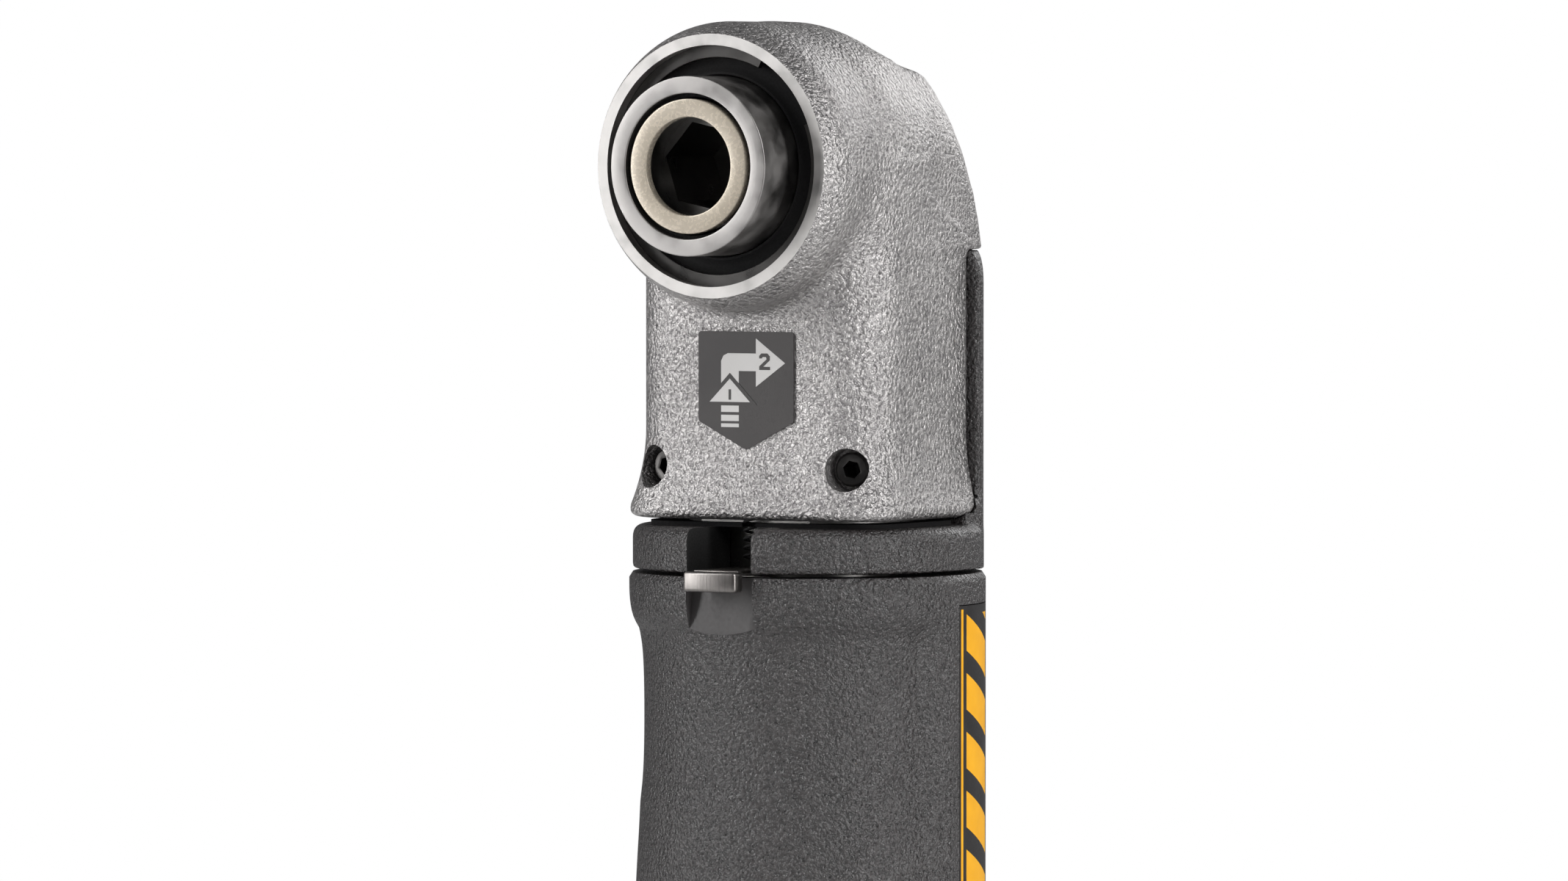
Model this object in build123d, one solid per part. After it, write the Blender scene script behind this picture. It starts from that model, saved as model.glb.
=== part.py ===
from build123d import *
import math
import os

# Right-angle air ratchet driver. Millimetres, +Z up the handle, nose along -Y.
# The origin is the centre of the air inlet's mouth, where the handle axis leaves the tool.

os.makedirs("parts", exist_ok=True)

# ---- main levels on the handle axis ----
SEAM_Z = 190.0                    # underside of the head casting
NOSE_Z = SEAM_Z + 49.6            # height of the output spindle's axis
GRIP_TOP = SEAM_Z - 7.3           # top lip of the handle
COLLAR_LOW = GRIP_TOP + 0.5       # underside of the head collar
GASKET_LOW = SEAM_Z - 0.6
BUMPER_TOP = SEAM_Z + 38.8
SHELL_LOW = 17.2                  # bottom edge of the handle shell
RUN = 0.05                        # radial clearance of a running fit

# ---- handle ----
GRIP_R = 25.0
GRIP_BORE = 19.5
GRIP_LOW_R = 24.6
WAIST_SIDE_Y = -2.9               # the finger waist stops here on both sides
INSERT_R = 19.4                   # motor and valve parts fit the handle bore

# ---- head ----
HALF_WIDTH = 20.0
FRONT_Y = -16.4
BACK_EDGE_Y = 10.8                # the casting's sides stop here and the bumper begins
CORNER_R = 8.0
SKIRT = 1.6                       # how far the casting's foot flares out
BACK_R = 18.2
RIM_Y = -26.2
RIM_R = 18.6
NOSE_BORE = 17.0
COLLAR_R = 24.5
BUMPER_R = 24.8
HUB_R = 13.3
BOSS_Y = 19.4                     # flat seat of the selector knob on the back of the head
FLANGE_R = 16.6
FLANGE_TOP = 204.0
FLANGE_FLAT = -14.1
SPRING_Y = -15.4                  # the latch spring stands in front of the flange
SPRING_HOLE = 1.2
SPRING_TOP = SEAM_Z + 5.0
SCREW_X = 15.1                    # front head screws
SCREW_Y = -13.4
SCREW_Z = SEAM_Z + 7.6
DOME_TOP = NOSE_Z + 19.9

# ---- drive ----
HEX_FLATS = 11.11                 # 7/16 in quick-change hexagon
HEX_TURN = 12.0
SLEEVE_R = 12.6
SLEEVE_FRONT = RIM_Y - 6.0
CAP_R = 9.5
MOUTH_R = 6.85
BARREL_R = 8.4
JOURNAL_R = 10.0
HUB_DISC_R = 9.0
REAR_SHAFT_R = 5.0
STEM_R = 2.4
FACE_GROOVE = 10.2                # dark groove between the sleeve's face and the cap
BALL_R = 1.6
BALL_Y = -25.8

# ---- gears ----
PRESSURE = math.radians(25)
SUN_TEETH = 12
PLANET_TEETH = 15
RING_TEETH = 42
PLANET_MODULE = 0.6
PLANET_ORBIT = PLANET_MODULE * (SUN_TEETH + PLANET_TEETH) / 2
PINION_TEETH = 10
BEVEL_TEETH = 20
BEVEL_MODULE = 1.3
BEVEL_FACE = 5.0
BACKLASH = 0.16
RATCHET_TEETH = 24
PAWL_TILT = 9.0
PAWL_REACH = 34.8                 # its tips stand this far off the pivot's plane, untilted
PAWL_TIP = 9.12
PAWL_PIVOT = NOSE_Z + 5.2

# ---- throttle ----
LEVER_Z = 100.0
LEVER_Y = 28.5
LEVER_TILT = 5.5
VALVE_Z = 56.0
INLET_FLATS = 19.0
INLET_BORE = 6.5
INLET_DEPTH = 12.6                # threaded length, in front of the screen's seat
SCREEN_R = 5.95
STEM_END = 31.1
REGULATOR_Y = -8.0
REGULATOR_Z = 66.0
GRIP_SCREW_Z = 137.6
GRIP_SCREW_ANGLES = (35, 59)
STRIP_LOW = 78.0
STRIP_HIGH = 178.4


def cyl_z(radius, low, high, x=0.0, y=0.0):
    """Cylinder standing along Z."""
    return Pos(x, y, (low + high) / 2) * Cylinder(radius, high - low)


def tube_z(outer, inner, low, high, x=0.0, y=0.0):
    """Ring standing along Z."""
    return cyl_z(outer, low, high, x, y) - cyl_z(inner, low - 1, high + 1, x, y)


def cyl_y(radius, front, back, x=0.0, z=NOSE_Z):
    """Cylinder lying along Y."""
    return Pos(x, (front + back) / 2, z) * Rot(90, 0, 0) * Cylinder(radius, back - front)


def tube_y(outer, inner, front, back, x=0.0, z=NOSE_Z):
    """Ring lying along Y."""
    return cyl_y(outer, front, back, x, z) - cyl_y(inner, front - 1, back + 1, x, z)


def cyl_x(radius, left, right, y=0.0, z=0.0):
    """Cylinder lying along X."""
    return Pos((left + right) / 2, y, z) * Rot(0, 90, 0) * Cylinder(radius, right - left)


def block(x0, x1, y0, y1, z0, z1):
    """Box given by its limits."""
    return Pos((x0 + x1) / 2, (y0 + y1) / 2, (z0 + z1) / 2) * Box(x1 - x0, y1 - y0, z1 - z0)


def turned(points):
    """Solid of revolution about Z from (radius, z) points."""
    outline = Polyline(*[(r, 0, z) for r, z in points], close=True)
    return revolve(make_face(outline), axis=Axis.Z)


def turned_y(points):
    """Solid of revolution about the spindle axis from (radius, y) points."""
    solid = turned([(r, -y) for r, y in points])
    return Pos(0, 0, NOSE_Z) * Rot(90, 0, 0) * solid


def sector(radius, start, end, low, high):
    """Wedge of a cylinder about Z between two angles in degrees."""
    steps = [start + (end - start) * i / 6 for i in range(7)]
    rim = [(radius * math.cos(math.radians(a)), radius * math.sin(math.radians(a))) for a in steps]
    face = make_face(Polyline((0, 0), *rim, close=True))
    return Pos(0, 0, low) * extrude(face, high - low)


def coil(radius, wire, pitch, height):
    """Helical spring standing on the XY plane."""
    path = Helix(pitch=pitch, height=height, radius=radius)
    section = Plane(origin=path @ 0, z_dir=path % 0) * Circle(wire / 2)
    return sweep(section, path=path, is_frenet=True)


def involute(alpha):
    return math.tan(alpha) - alpha


def flank(pitch_r, half_angle, low, high, steps):
    """Involute flank as (radius, half angle) pairs from the root to the tip."""
    base = pitch_r * math.cos(PRESSURE)
    pairs = []
    for i in range(steps + 1):
        r = low + (high - low) * i / steps
        roll = math.acos(min(1.0, base / max(r, base)))
        pairs.append((r, half_angle + involute(PRESSURE) - involute(roll)))
    return pairs


def spur_outline(teeth, module, below, above, slack, steps=2):
    """Closed outline of a spur gear, or of the hole of an internal gear when slack is negative."""
    pitch_r = module * teeth / 2
    half = math.pi / 2 / teeth - slack / 2 / pitch_r
    side = flank(pitch_r, half, pitch_r - below * module, pitch_r + above * module, steps)
    points = []
    for k in range(teeth):
        centre = 2 * math.pi * k / teeth
        for r, a in side:
            points.append((r * math.cos(centre - a), r * math.sin(centre - a)))
        for r, a in reversed(side):
            points.append((r * math.cos(centre + a), r * math.sin(centre + a)))
    return make_face(Polyline(*points, close=True))


def bevel_tooth(teeth, cone, centre, outer, face):
    """One straight bevel tooth about +Z, apex at the origin, tapering to the apex."""
    along = Vector(math.sin(cone) * math.cos(centre), math.sin(cone) * math.sin(centre), math.cos(cone))
    up = Vector(math.cos(cone) * math.cos(centre), math.cos(cone) * math.sin(centre), -math.sin(cone))
    flat_r = BEVEL_MODULE * teeth / 2 / math.cos(cone)
    half = (math.pi * BEVEL_MODULE / 2 - BACKLASH) / 2 / flat_r
    side = flank(flat_r, half, flat_r - 1.35 * BEVEL_MODULE, flat_r + 0.85 * BEVEL_MODULE, 3)
    right = [(r * math.sin(a), r * math.cos(a) - flat_r) for r, a in side]
    left = [(-x, y) for x, y in reversed(right)]
    ends = []
    for distance in (outer, outer - face):
        k = distance / outer
        plane = Plane(origin=along * distance, x_dir=up.cross(along), z_dir=along)
        ends.append(plane * make_face(Polyline(*[(x * k, y * k) for x, y in right + left], close=True)))
    return loft(ends, ruled=True)


def bevel_gear(teeth, mate, start, hub):
    """Bevel gear about +Z with its apex at the origin; hub closes the blank as (radius, z) points."""
    cone = math.atan(teeth / mate)
    outer = BEVEL_MODULE * math.hypot(teeth, mate) / 2
    root = 1.2 * BEVEL_MODULE
    far = (outer * math.sin(cone) - root * math.cos(cone), outer * math.cos(cone) + root * math.sin(cone))
    k = (outer - BEVEL_FACE) / outer
    blank = turned([(0, far[1] * k), (far[0] * k, far[1] * k), far] + hub)
    for i in range(teeth):
        blank += bevel_tooth(teeth, cone, start + 2 * math.pi * i / teeth, outer, BEVEL_FACE)
    return blank


def front_plan(inset):
    """Plan of the casting's front and sides: flat front with round corners, cut off at the bumper."""
    front = FRONT_Y + inset
    plan = Pos(0, front + 25) * RectangleRounded(2 * (HALF_WIDTH - inset), 50, CORNER_R)
    return plan & Pos(0, (front + BACK_EDGE_Y) / 2) * Rectangle(60, BACK_EDGE_Y - front)


def body_outline(inset):
    """Plan of the casting's lower body, with its round back."""
    back = Circle(BACK_R - inset) & Pos(0, 20) * Rectangle(60, 40)
    return front_plan(inset) + back


def head_solid():
    """Outside of the casting: skirt, lower body, sloping dome and nose barrel."""
    skirt = extrude(Pos(0, 0, SEAM_Z) * front_plan(-SKIRT), 3.0)
    flare = Pos(0, FRONT_Y - SKIRT + 25, SEAM_Z + 3.0)
    flare *= RectangleRounded(2 * (HALF_WIDTH + SKIRT), 50, CORNER_R)
    skirt += extrude(flare, 7.0, taper=12.9) & block(-30, 30, -30, BACK_EDGE_Y, SEAM_Z, SEAM_Z + 14)
    body = extrude(Pos(0, 0, SEAM_Z) * body_outline(0), BUMPER_TOP - SEAM_Z)
    dome_plan = Pos(0, 1.4) * RectangleRounded(2 * HALF_WIDTH, 35.6, 8.0)
    dome = extrude(Pos(0, 0, BUMPER_TOP + 0.3) * dome_plan, 36.0)
    side = make_face([
        Polyline((0, 20, BUMPER_TOP - 0.5), (0, -17, BUMPER_TOP - 0.5), (0, -17, DOME_TOP),
                 (0, -8, DOME_TOP)),
        ThreePointArc((0, -8, DOME_TOP), (0, 10.2, NOSE_Z + 11.0), (0, 20, BUMPER_TOP - 0.5)),
    ])
    dome &= extrude(side, 25, both=True)
    barrel = cyl_y(HALF_WIDTH, -20, 25)
    dome &= barrel + block(-HALF_WIDTH, HALF_WIDTH, -20, 25, SEAM_Z, NOSE_Z)
    nose = turned_y([(0, RIM_Y), (RIM_R, RIM_Y), (19.5, -24.4), (HALF_WIDTH, -20.5),
                     (HALF_WIDTH, -8), (0, -8)])
    boss = cyl_y(9.6, 6, BOSS_Y)
    return skirt + body + dome + nose + boss


def screw_place(side):
    """Frame of a front head screw: +Z points out of the casting."""
    splay = math.radians(13) * side
    out = Vector(math.sin(splay), -math.cos(splay), 0)
    return Plane(origin=(SCREW_X * side, SCREW_Y, SCREW_Z), z_dir=out)


def flange_room(low, high):
    """Round flange with a flat front, where the casting's wall is."""
    return cyl_z(FLANGE_R, low, high) & block(-30, 30, FLANGE_FLAT, 30, low, high)


def head_housing():
    solid = head_solid()
    solid -= cyl_y(NOSE_BORE, RIM_Y - 1, -21.5)
    solid -= cyl_y(NOSE_BORE + 0.8, -24.4, -23.2)
    solid -= cyl_y(16.0, -22, -14.4)
    solid -= cyl_y(14.6, -15, 1.0)
    solid -= cyl_y(11.0, 0, 6.5)
    solid -= cyl_y(9.0, 6, 11.6)
    solid -= cyl_y(5.8, 11, 20)
    solid -= flange_room(SEAM_Z - 1, FLANGE_TOP)
    solid -= cyl_z(SPRING_HOLE, SEAM_Z - 1, SPRING_TOP, 0, SPRING_Y)
    solid -= cyl_z(11.0, FLANGE_TOP - 1, 213.2)
    solid -= cyl_z(9.0, 213, NOSE_Z)
    for side in (-1, 1):
        place = screw_place(side)
        solid -= place * Pos(0, 0, 3.0) * Cylinder(3.0, 10.0)
        solid -= place * Pos(0, 0, -6.0) * Cylinder(1.7, 12.0)
    return solid


def head_screws():
    screws = []
    for side in (-1, 1):
        place = screw_place(side)
        screw = place * Pos(0, 0, -1.0) * Cylinder(2.7, 2.0)
        screw += place * Pos(0, 0, -5.9) * Cylinder(1.5, 8.2)
        screw -= place * Pos(0, 0, -0.5) * extrude(RegularPolygon(1.25, 6), 2)
        screws.append(screw)
    return Compound(children=screws)


def swivel_hub():
    hub = cyl_z(HUB_R, 163.5, SEAM_Z + 1) + flange_room(SEAM_Z, FLANGE_TOP)
    for k in range(3):
        hub += sector(15.5, 120 * k + 75, 120 * k + 105, 163.5, 166.0)
    hub -= cyl_z(9.5, 163, 173.2)
    hub -= cyl_z(7.0, 173, FLANGE_TOP + 1)
    for side in (-1, 1):
        hub -= screw_place(side) * Pos(0, 0, -7.0) * Cylinder(1.5, 10.6)
    return hub


def head_collar():
    """Moulded ring that carries the latch, with the back bumper standing on it."""
    ring = turned([(13.4, COLLAR_LOW), (24.2, COLLAR_LOW), (COLLAR_R, COLLAR_LOW + 0.4),
                   (COLLAR_R, GASKET_LOW - 1.6), (COLLAR_R - 0.5, GASKET_LOW - 0.5),
                   (COLLAR_R - 1.6, GASKET_LOW), (13.4, GASKET_LOW)])
    back_view = Plane.XZ * Pos(0, BUMPER_TOP - 30) * RectangleRounded(44.4, 60, 6)
    bumper = cyl_z(BUMPER_R, COLLAR_LOW, BUMPER_TOP) & extrude(back_view, 30, both=True)
    bumper &= block(-30, 30, BACK_EDGE_Y + 0.1, 30, COLLAR_LOW, BUMPER_TOP)
    bumper -= cyl_z(BACK_R + 0.1, COLLAR_LOW - 1, BUMPER_TOP + 1)
    for side in (-1, 1):
        foot = sorted((side * 18.0, side * 21.3))
        bumper -= block(*foot, 0, BACK_EDGE_Y + 1.4, SEAM_Z - 0.7, SEAM_Z + 10.2)
    collar = ring + bumper
    collar -= block(-5.2, 5.2, -26, -12, COLLAR_LOW - 1, SEAM_Z - 1.2)
    collar -= cyl_z(SPRING_HOLE, SEAM_Z - 3, SEAM_Z, 0, SPRING_Y)
    return collar


def head_gasket():
    plan = extrude(Pos(0, 0, GASKET_LOW) * body_outline(0.5), SEAM_Z - GASKET_LOW)
    plan -= cyl_z(HUB_R + 0.1, GASKET_LOW - 1, SEAM_Z + 1)
    return plan - cyl_z(SPRING_HOLE, GASKET_LOW - 1, SEAM_Z + 1, 0, SPRING_Y)


def instruction_label():
    half, top, shoulder, tip = 7.7, SEAM_Z + 26.6, SEAM_Z + 14.2, SEAM_Z + 10.2
    shield = Polyline((-half, top), (half, top), (half, shoulder), (0, tip), (-half, shoulder), close=True)
    return Pos(0, FRONT_Y, 0) * extrude(Plane.XZ * make_face(shield), 0.3)


def latch():
    """Push-up latch: front bar, tongue through the collar slot and lock tooth."""
    bar = block(-4.2, 4.2, -27.0, -20, GRIP_TOP - 1.9, GRIP_TOP + 0.9)
    bar -= cyl_z(GRIP_R + 0.15, 170, 200)
    tongue = block(-3.6, 3.6, -26.4, -13.8, COLLAR_LOW + 0.1, COLLAR_LOW + 1.2)
    tooth = block(-2.5, 2.5, -17.0, -14.2, GRIP_TOP, COLLAR_LOW + 0.2)
    riser = block(-3.6, 3.6, -26.4, -25.3, GRIP_TOP + 0.3, COLLAR_LOW + 1.2)
    return bar + tongue + tooth + riser


def latch_spring():
    return Pos(0, SPRING_Y, COLLAR_LOW + 1.45) * coil(0.85, 0.4, 1.2, 10.0)


def ratchet_hole():
    """Symmetric internal ratchet teeth inside the bevel gear's hub."""
    tip, root = 9.25, 10.3
    points = []
    for k in range(RATCHET_TEETH):
        for r, share in ((tip, -0.33), (root, -0.22), (root, 0.22), (tip, 0.33)):
            a = 2 * math.pi * (k + share) / RATCHET_TEETH + math.pi / 2
            points.append((r * math.cos(a), r * math.sin(a)))
    return Plane.XZ * Pos(0, NOSE_Z) * make_face(Polyline(*points, close=True))


def spindle_gear():
    """Large bevel gear, teeth facing back, ratchet teeth inside its front hub."""
    start = math.pi / BEVEL_TEETH + math.pi / 2
    gear = bevel_gear(BEVEL_TEETH, PINION_TEETH, start, [(12.3, 9.0), (12.3, 13.9), (0, 13.9)])
    gear = Pos(0, 0, NOSE_Z) * Rot(90, 0, 0) * gear
    gear -= cyl_y(REAR_SHAFT_R + RUN, -20, 0)
    gear -= Pos(0, -8.9, 0) * extrude(ratchet_hole(), 10)
    return gear


def pinion_shaft():
    """Vertical shaft with the bevel pinion on top and a drive dog below."""
    drop = [(4.8, 13.8), (4.8, 16.0), (0, 16.0)]
    pinion = bevel_gear(PINION_TEETH, BEVEL_TEETH, math.pi / 2, drop)
    shaft = Pos(0, 0, NOSE_Z) * Rot(180, 0, 0) * pinion
    shaft += cyl_z(5.0, 164, NOSE_Z - 14.6)
    shaft += cyl_z(8.0, 162.6, 165.0)
    for k in range(3):
        shaft += sector(8.0, 120 * k, 120 * k + 55, 160.4, 163) - cyl_z(3.5, 150, 170)
    return shaft


def drive_spindle():
    """Output spindle: hexagon socket in front, pawl pocket, slim rear shaft."""
    solid = cyl_y(BARREL_R, -30.6, -21) + cyl_y(JOURNAL_R, -21.4, -14.4)
    solid += cyl_y(HUB_DISC_R, -14.5, -9.1) + cyl_y(REAR_SHAFT_R, -9.2, 14.0)
    solid -= cyl_y(MOUTH_R, -32, -27.6)
    corner_r = HEX_FLATS / math.sqrt(3)
    hexagon = Plane.XZ * Pos(0, NOSE_Z) * Rot(0, 0, -HEX_TURN) * RegularPolygon(corner_r, 6)
    solid -= Pos(0, -14.9, 0) * extrude(hexagon, 14)
    solid -= cyl_y(STEM_R + RUN, -13.9, 15)
    solid -= block(-8.2, 8.2, -13.5, -9.5, NOSE_Z + 2.7, NOSE_Z + 12)
    solid -= block(-3.6, 3.6, -13.5, -9.5, NOSE_Z + 0.6, NOSE_Z + 3)
    solid -= ball_place(cyl_x(BALL_R + 0.1, 4.9, 9, y=BALL_Y))
    solid -= cyl_y(1.0, -14.4, -9, 0, PAWL_PIVOT)
    return solid


def ball_place(shape):
    """Turn the ball to the middle of one flat of the hexagon."""
    return Pos(0, 0, NOSE_Z) * Rot(0, HEX_TURN - 30, 0) * shape


def retaining_ball():
    return ball_place(Pos(6.7, BALL_Y, 0) * Sphere(BALL_R))


def release_sleeve():
    front = SLEEVE_FRONT
    return turned_y([(FACE_GROOVE, front), (SLEEVE_R - 0.5, front), (SLEEVE_R, front + 0.5),
                     (SLEEVE_R, -22.2), (SLEEVE_R - 0.4, -21.8), (11.2, -21.8), (11.2, -24.8),
                     (BARREL_R + RUN, -24.8), (BARREL_R + RUN, -26.8), (CAP_R + 0.12, -26.8),
                     (CAP_R + 0.12, front + 1.8), (FACE_GROOVE, front + 1.8)])


def spindle_cap():
    return turned_y([(MOUTH_R, -30.6), (CAP_R, -30.6), (CAP_R, -31.8), (CAP_R - 0.3, -32.1),
                     (MOUTH_R + 0.5, -32.1), (MOUTH_R, -31.6)])


def sleeve_spring():
    spring = coil(8.95, 0.5, 1.1, 3.0)
    return Pos(0, -27.2, NOSE_Z) * Rot(90, 0, 0) * spring


def pawl():
    """Double-ended pawl, drawn tilted so that its +X tip sits between two ratchet teeth."""
    tips = []
    for side in (1, -1):
        for r, turn in ((8.0, -7.6), (PAWL_TIP, -1.8), (PAWL_TIP, 1.8), (8.0, 7.6)):
            angle = math.radians(90 - PAWL_REACH * side + turn)
            tips.append((r * math.cos(angle), r * math.sin(angle)))
    crown = [(1.6, 7.2), (-1.6, 7.2)]
    base = [(-4.6, 4.5), (-1.0, 3.7), (1.0, 3.7), (4.6, 4.5)]
    outline = tips[:4] + crown + tips[4:] + base
    face = Plane.XZ * Pos(0, NOSE_Z) * make_face(Polyline(*outline, close=True))
    solid = Pos(0, -9.7, 0) * extrude(face, 3.6)
    solid -= cyl_y(0.9 + RUN, -15, -9, 0, PAWL_PIVOT)
    return Pos(0, 0, PAWL_PIVOT) * Rot(0, -PAWL_TILT, 0) * Pos(0, 0, -PAWL_PIVOT) * solid


def selector_knob():
    seat = BOSS_Y + 0.3
    knob = cyl_y(8.6, seat, seat + 3.6) + cyl_y(6.6, seat + 3, seat + 4.2)
    for k in range(12):
        a = math.radians(30 * k)
        knob -= cyl_y(1.2, seat - 1, seat + 5, 9.2 * math.cos(a), NOSE_Z + 9.2 * math.sin(a))
    knob += cyl_y(5.6, 14.3, seat + 1) + cyl_y(STEM_R, -13.6, 15)
    knob += block(-1.2, 1.2, seat + 4, seat + 5.4, NOSE_Z - 5.6, NOSE_Z + 5.6)
    return knob - plunger_place(cyl_z(0.85, -0.4, 4.0))


def plunger_place(shape):
    """Tilt the plunger to the side that holds the pawl's +X tip out."""
    return Pos(0, -11.5, NOSE_Z) * Rot(0, 30, 0) * shape


def ball_bearing_z(outer, inner, low, high):
    """Ring bearing with a step between its races on both faces."""
    ring = tube_z(outer, inner, low, high)
    third = (outer - inner) / 3
    for z in (low, high):
        ring -= tube_z(outer - third, inner + third, z - 0.4, z + 0.4)
    return ring


def ball_bearing_y(outer, inner, front, back):
    ring = tube_y(outer, inner, front, back)
    third = (outer - inner) / 3
    for y in (front, back):
        ring -= tube_y(outer - third, inner + third, y - 0.4, y + 0.4)
    return ring


def nose_snap_ring():
    """Open ring: its gap runs from one o'clock towards the right."""
    ring = tube_y(NOSE_BORE + 0.7, 15.0, -24.3, -23.3)
    gap = Pos(0, 0, NOSE_Z) * Rot(0, 29, 0) * block(-1.6, 11.0, -30, -20, 8, 22)
    return ring - gap


def shell_profile():
    """Half outline of the grip in front: lip, finger waist, straight lower part."""
    lip = Polyline((0, GRIP_TOP), (GRIP_R - 0.5, GRIP_TOP), (GRIP_R, GRIP_TOP - 0.5),
                   (GRIP_R, GRIP_TOP - 2.2))
    waist = Spline((GRIP_R, GRIP_TOP - 2.2), (23.5, 174.5), (22.9, 163.0), (23.5, 150.0), (24.4, 128.0))
    low = Polyline((24.4, 128.0), (GRIP_LOW_R, 112.0), (GRIP_LOW_R, SHELL_LOW), (0, SHELL_LOW),
                   (0, GRIP_TOP))
    return Plane.XZ * make_face([lip, waist, low])


def strip_sector(inner, outer, side, extra):
    """Curved plate on the grip's flank, starting at the widest point and running back."""
    start, end = (-1.4 - extra, 31.0 + extra) if side > 0 else (149.0 - extra, 181.4 + extra)
    wedge = sector(40, start, end, STRIP_LOW - extra, STRIP_HIGH + extra)
    return wedge & tube_z(outer, inner, 70, 185)


def side_strips():
    return Compound(children=[strip_sector(24.15, GRIP_R, side, 0) for side in (1, -1)])


def grip_screw_place(angle):
    a = math.radians(angle)
    out = Vector(math.sin(a), -math.cos(a), 0)
    return Plane(origin=out * 24.0 + Vector(0, 0, GRIP_SCREW_Z), z_dir=out)


def handle_shell():
    shell = revolve(shell_profile(), axis=Axis.Z)
    back = cyl_z(GRIP_R, SHELL_LOW + 4, GRIP_TOP - 0.5) & block(-30, 30, WAIST_SIDE_Y, 30, 0, 200)
    shell += back
    for side in (-1, 1):
        ear = block(*sorted((side * 7.6, side * 10.4)), 18, 29, LEVER_Z - 5, LEVER_Z + 5)
        ear += cyl_x(3.6, *sorted((side * 7.6, side * 10.4)), LEVER_Y, LEVER_Z)
        shell += ear
    shell -= cyl_z(GRIP_BORE, 0, 200)
    shell -= cyl_x(1.6, -12, 12, LEVER_Y, LEVER_Z)
    scoop = Pos(0, -29.9, 178.4) * Sphere(9.0)
    scoop &= block(-5.0, 5.0, -30, -20, 174.6, 184)
    shell -= scoop
    shell -= cyl_y(4.25, 15, 30, 0, VALVE_Z)
    shell -= cyl_x(5.8, -30, -21.6, REGULATOR_Y, REGULATOR_Z)
    shell -= cyl_x(2.7, -30, -15, REGULATOR_Y, REGULATOR_Z)
    for side in (1, -1):
        shell -= strip_sector(24.1, 30, side, 0.15)
    for angle in GRIP_SCREW_ANGLES:
        shell -= grip_screw_place(angle) * Pos(0, 0, 1.0) * Cylinder(2.3, 6.0)
        shell -= grip_screw_place(angle) * Cylinder(1.3, 12.0)
    return shell


def handle_screws():
    screws = []
    for angle in GRIP_SCREW_ANGLES:
        place = grip_screw_place(angle)
        screw = place * Pos(0, 0, -1.2) * Cylinder(2.1, 1.6) + place * Pos(0, 0, -4.9) * Cylinder(1.2, 6.0)
        screw -= place * Pos(0, 0, -1.0) * extrude(RegularPolygon(1.0, 6), 2)
        screws.append(screw)
    return Compound(children=screws)


def lock_ring():
    """Steel bayonet ring in the handle's mouth, with a notch for the latch tooth."""
    ring = tube_z(GRIP_BORE, HUB_R + RUN, 166.3, 182.3)
    for k in range(3):
        ring -= sector(15.8, 120 * k + 28, 120 * k + 62, 160, 190)
    return ring - block(-3.2, 3.2, -18, -12, 180.4, 184)


def bearing_plate():
    return tube_z(GRIP_BORE, 9.0, 144.0, 153.0) - cyl_z(6.5, 140, 160)


def ring_gear():
    gear = cyl_z(GRIP_BORE, 127.0, 143.8)
    gear -= Pos(0, 0, 120) * extrude(spur_outline(RING_TEETH, PLANET_MODULE, 0.8, 1.2, -BACKLASH), 30)
    for angle in GRIP_SCREW_ANGLES:
        gear -= grip_screw_place(angle) * Pos(0, 0, -5) * Cylinder(1.2, 7.0)
    return gear


def planet_angle(place):
    """Turn that puts a planet in mesh with the sun at this place on the carrier."""
    return place + 180 + (place * SUN_TEETH - 180) / PLANET_TEETH


def planet_gear(place):
    gear = Pos(0, 0, 130) * extrude(spur_outline(PLANET_TEETH, PLANET_MODULE, 1.2, 0.8, BACKLASH), 8)
    gear -= cyl_z(1.5 + RUN, 120, 150)
    a = math.radians(place)
    shift = Pos(PLANET_ORBIT * math.cos(a), PLANET_ORBIT * math.sin(a), 0)
    return shift * Rot(0, 0, planet_angle(place)) * gear


def planet_pins():
    pins = []
    for place in (0, 120, 240):
        a = math.radians(place)
        pins.append(cyl_z(1.5, 129.4, 143.0, PLANET_ORBIT * math.cos(a), PLANET_ORBIT * math.sin(a)))
    return Compound(children=pins)


def planet_carrier():
    carrier = cyl_z(11.7, 138.6, 143.5) + cyl_z(5.0, 143, 156) + cyl_z(8.0, 155.0, 158.0)
    for k in range(3):
        carrier += sector(8.0, 120 * k + 60, 120 * k + 115, 157, 160.0) - cyl_z(3.5, 150, 170)
    for place in (0, 120, 240):
        a = math.radians(place)
        carrier -= cyl_z(1.5, 138, 144, PLANET_ORBIT * math.cos(a), PLANET_ORBIT * math.sin(a))
    return carrier


def rotor():
    body = cyl_z(12.8, 81.3, 120.7) + cyl_z(4.0, 76.6, 82) + cyl_z(3.0, 120, 128.5)
    body += Pos(0, 0, 128.5) * extrude(spur_outline(SUN_TEETH, PLANET_MODULE, 1.2, 0.8, BACKLASH), 9.8)
    for k in range(5):
        body -= Rot(0, 0, 72 * k + 18) * block(6.2, 14, -0.85, 0.85, 80, 122)
    return body


def vanes():
    return Compound(children=[Rot(0, 0, 72 * k + 18) * block(6.4, 12.6, -0.75, 0.75, 81.5, 120.5)
                              for k in range(5)])


def motor_cylinder():
    """Liner with a bore set off the axis, an inlet port and exhaust ports."""
    liner = cyl_z(INSERT_R, 81.0, 121.0) - cyl_z(14.4, 80, 122, 0, 1.4)
    for k in range(3):
        liner -= cyl_y(1.6, 0, 25, 0, 90 + 11 * k)
    return liner - cyl_y(1.8, -25, 0, 0, 101)


def valve_body():
    """Insert under the motor that carries the throttle valve and the regulator."""
    body = cyl_z(INSERT_R, 36.0, 75.8)
    body -= cyl_z(5.0, 30, VALVE_Z)
    body -= cyl_y(4.2, -14.0, 25, 0, VALVE_Z)
    body -= cyl_z(3.5, VALVE_Z, 80, 0, -8.0)
    body -= cyl_x(2.6, -25, 1, REGULATOR_Y, REGULATOR_Z)
    return body


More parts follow.
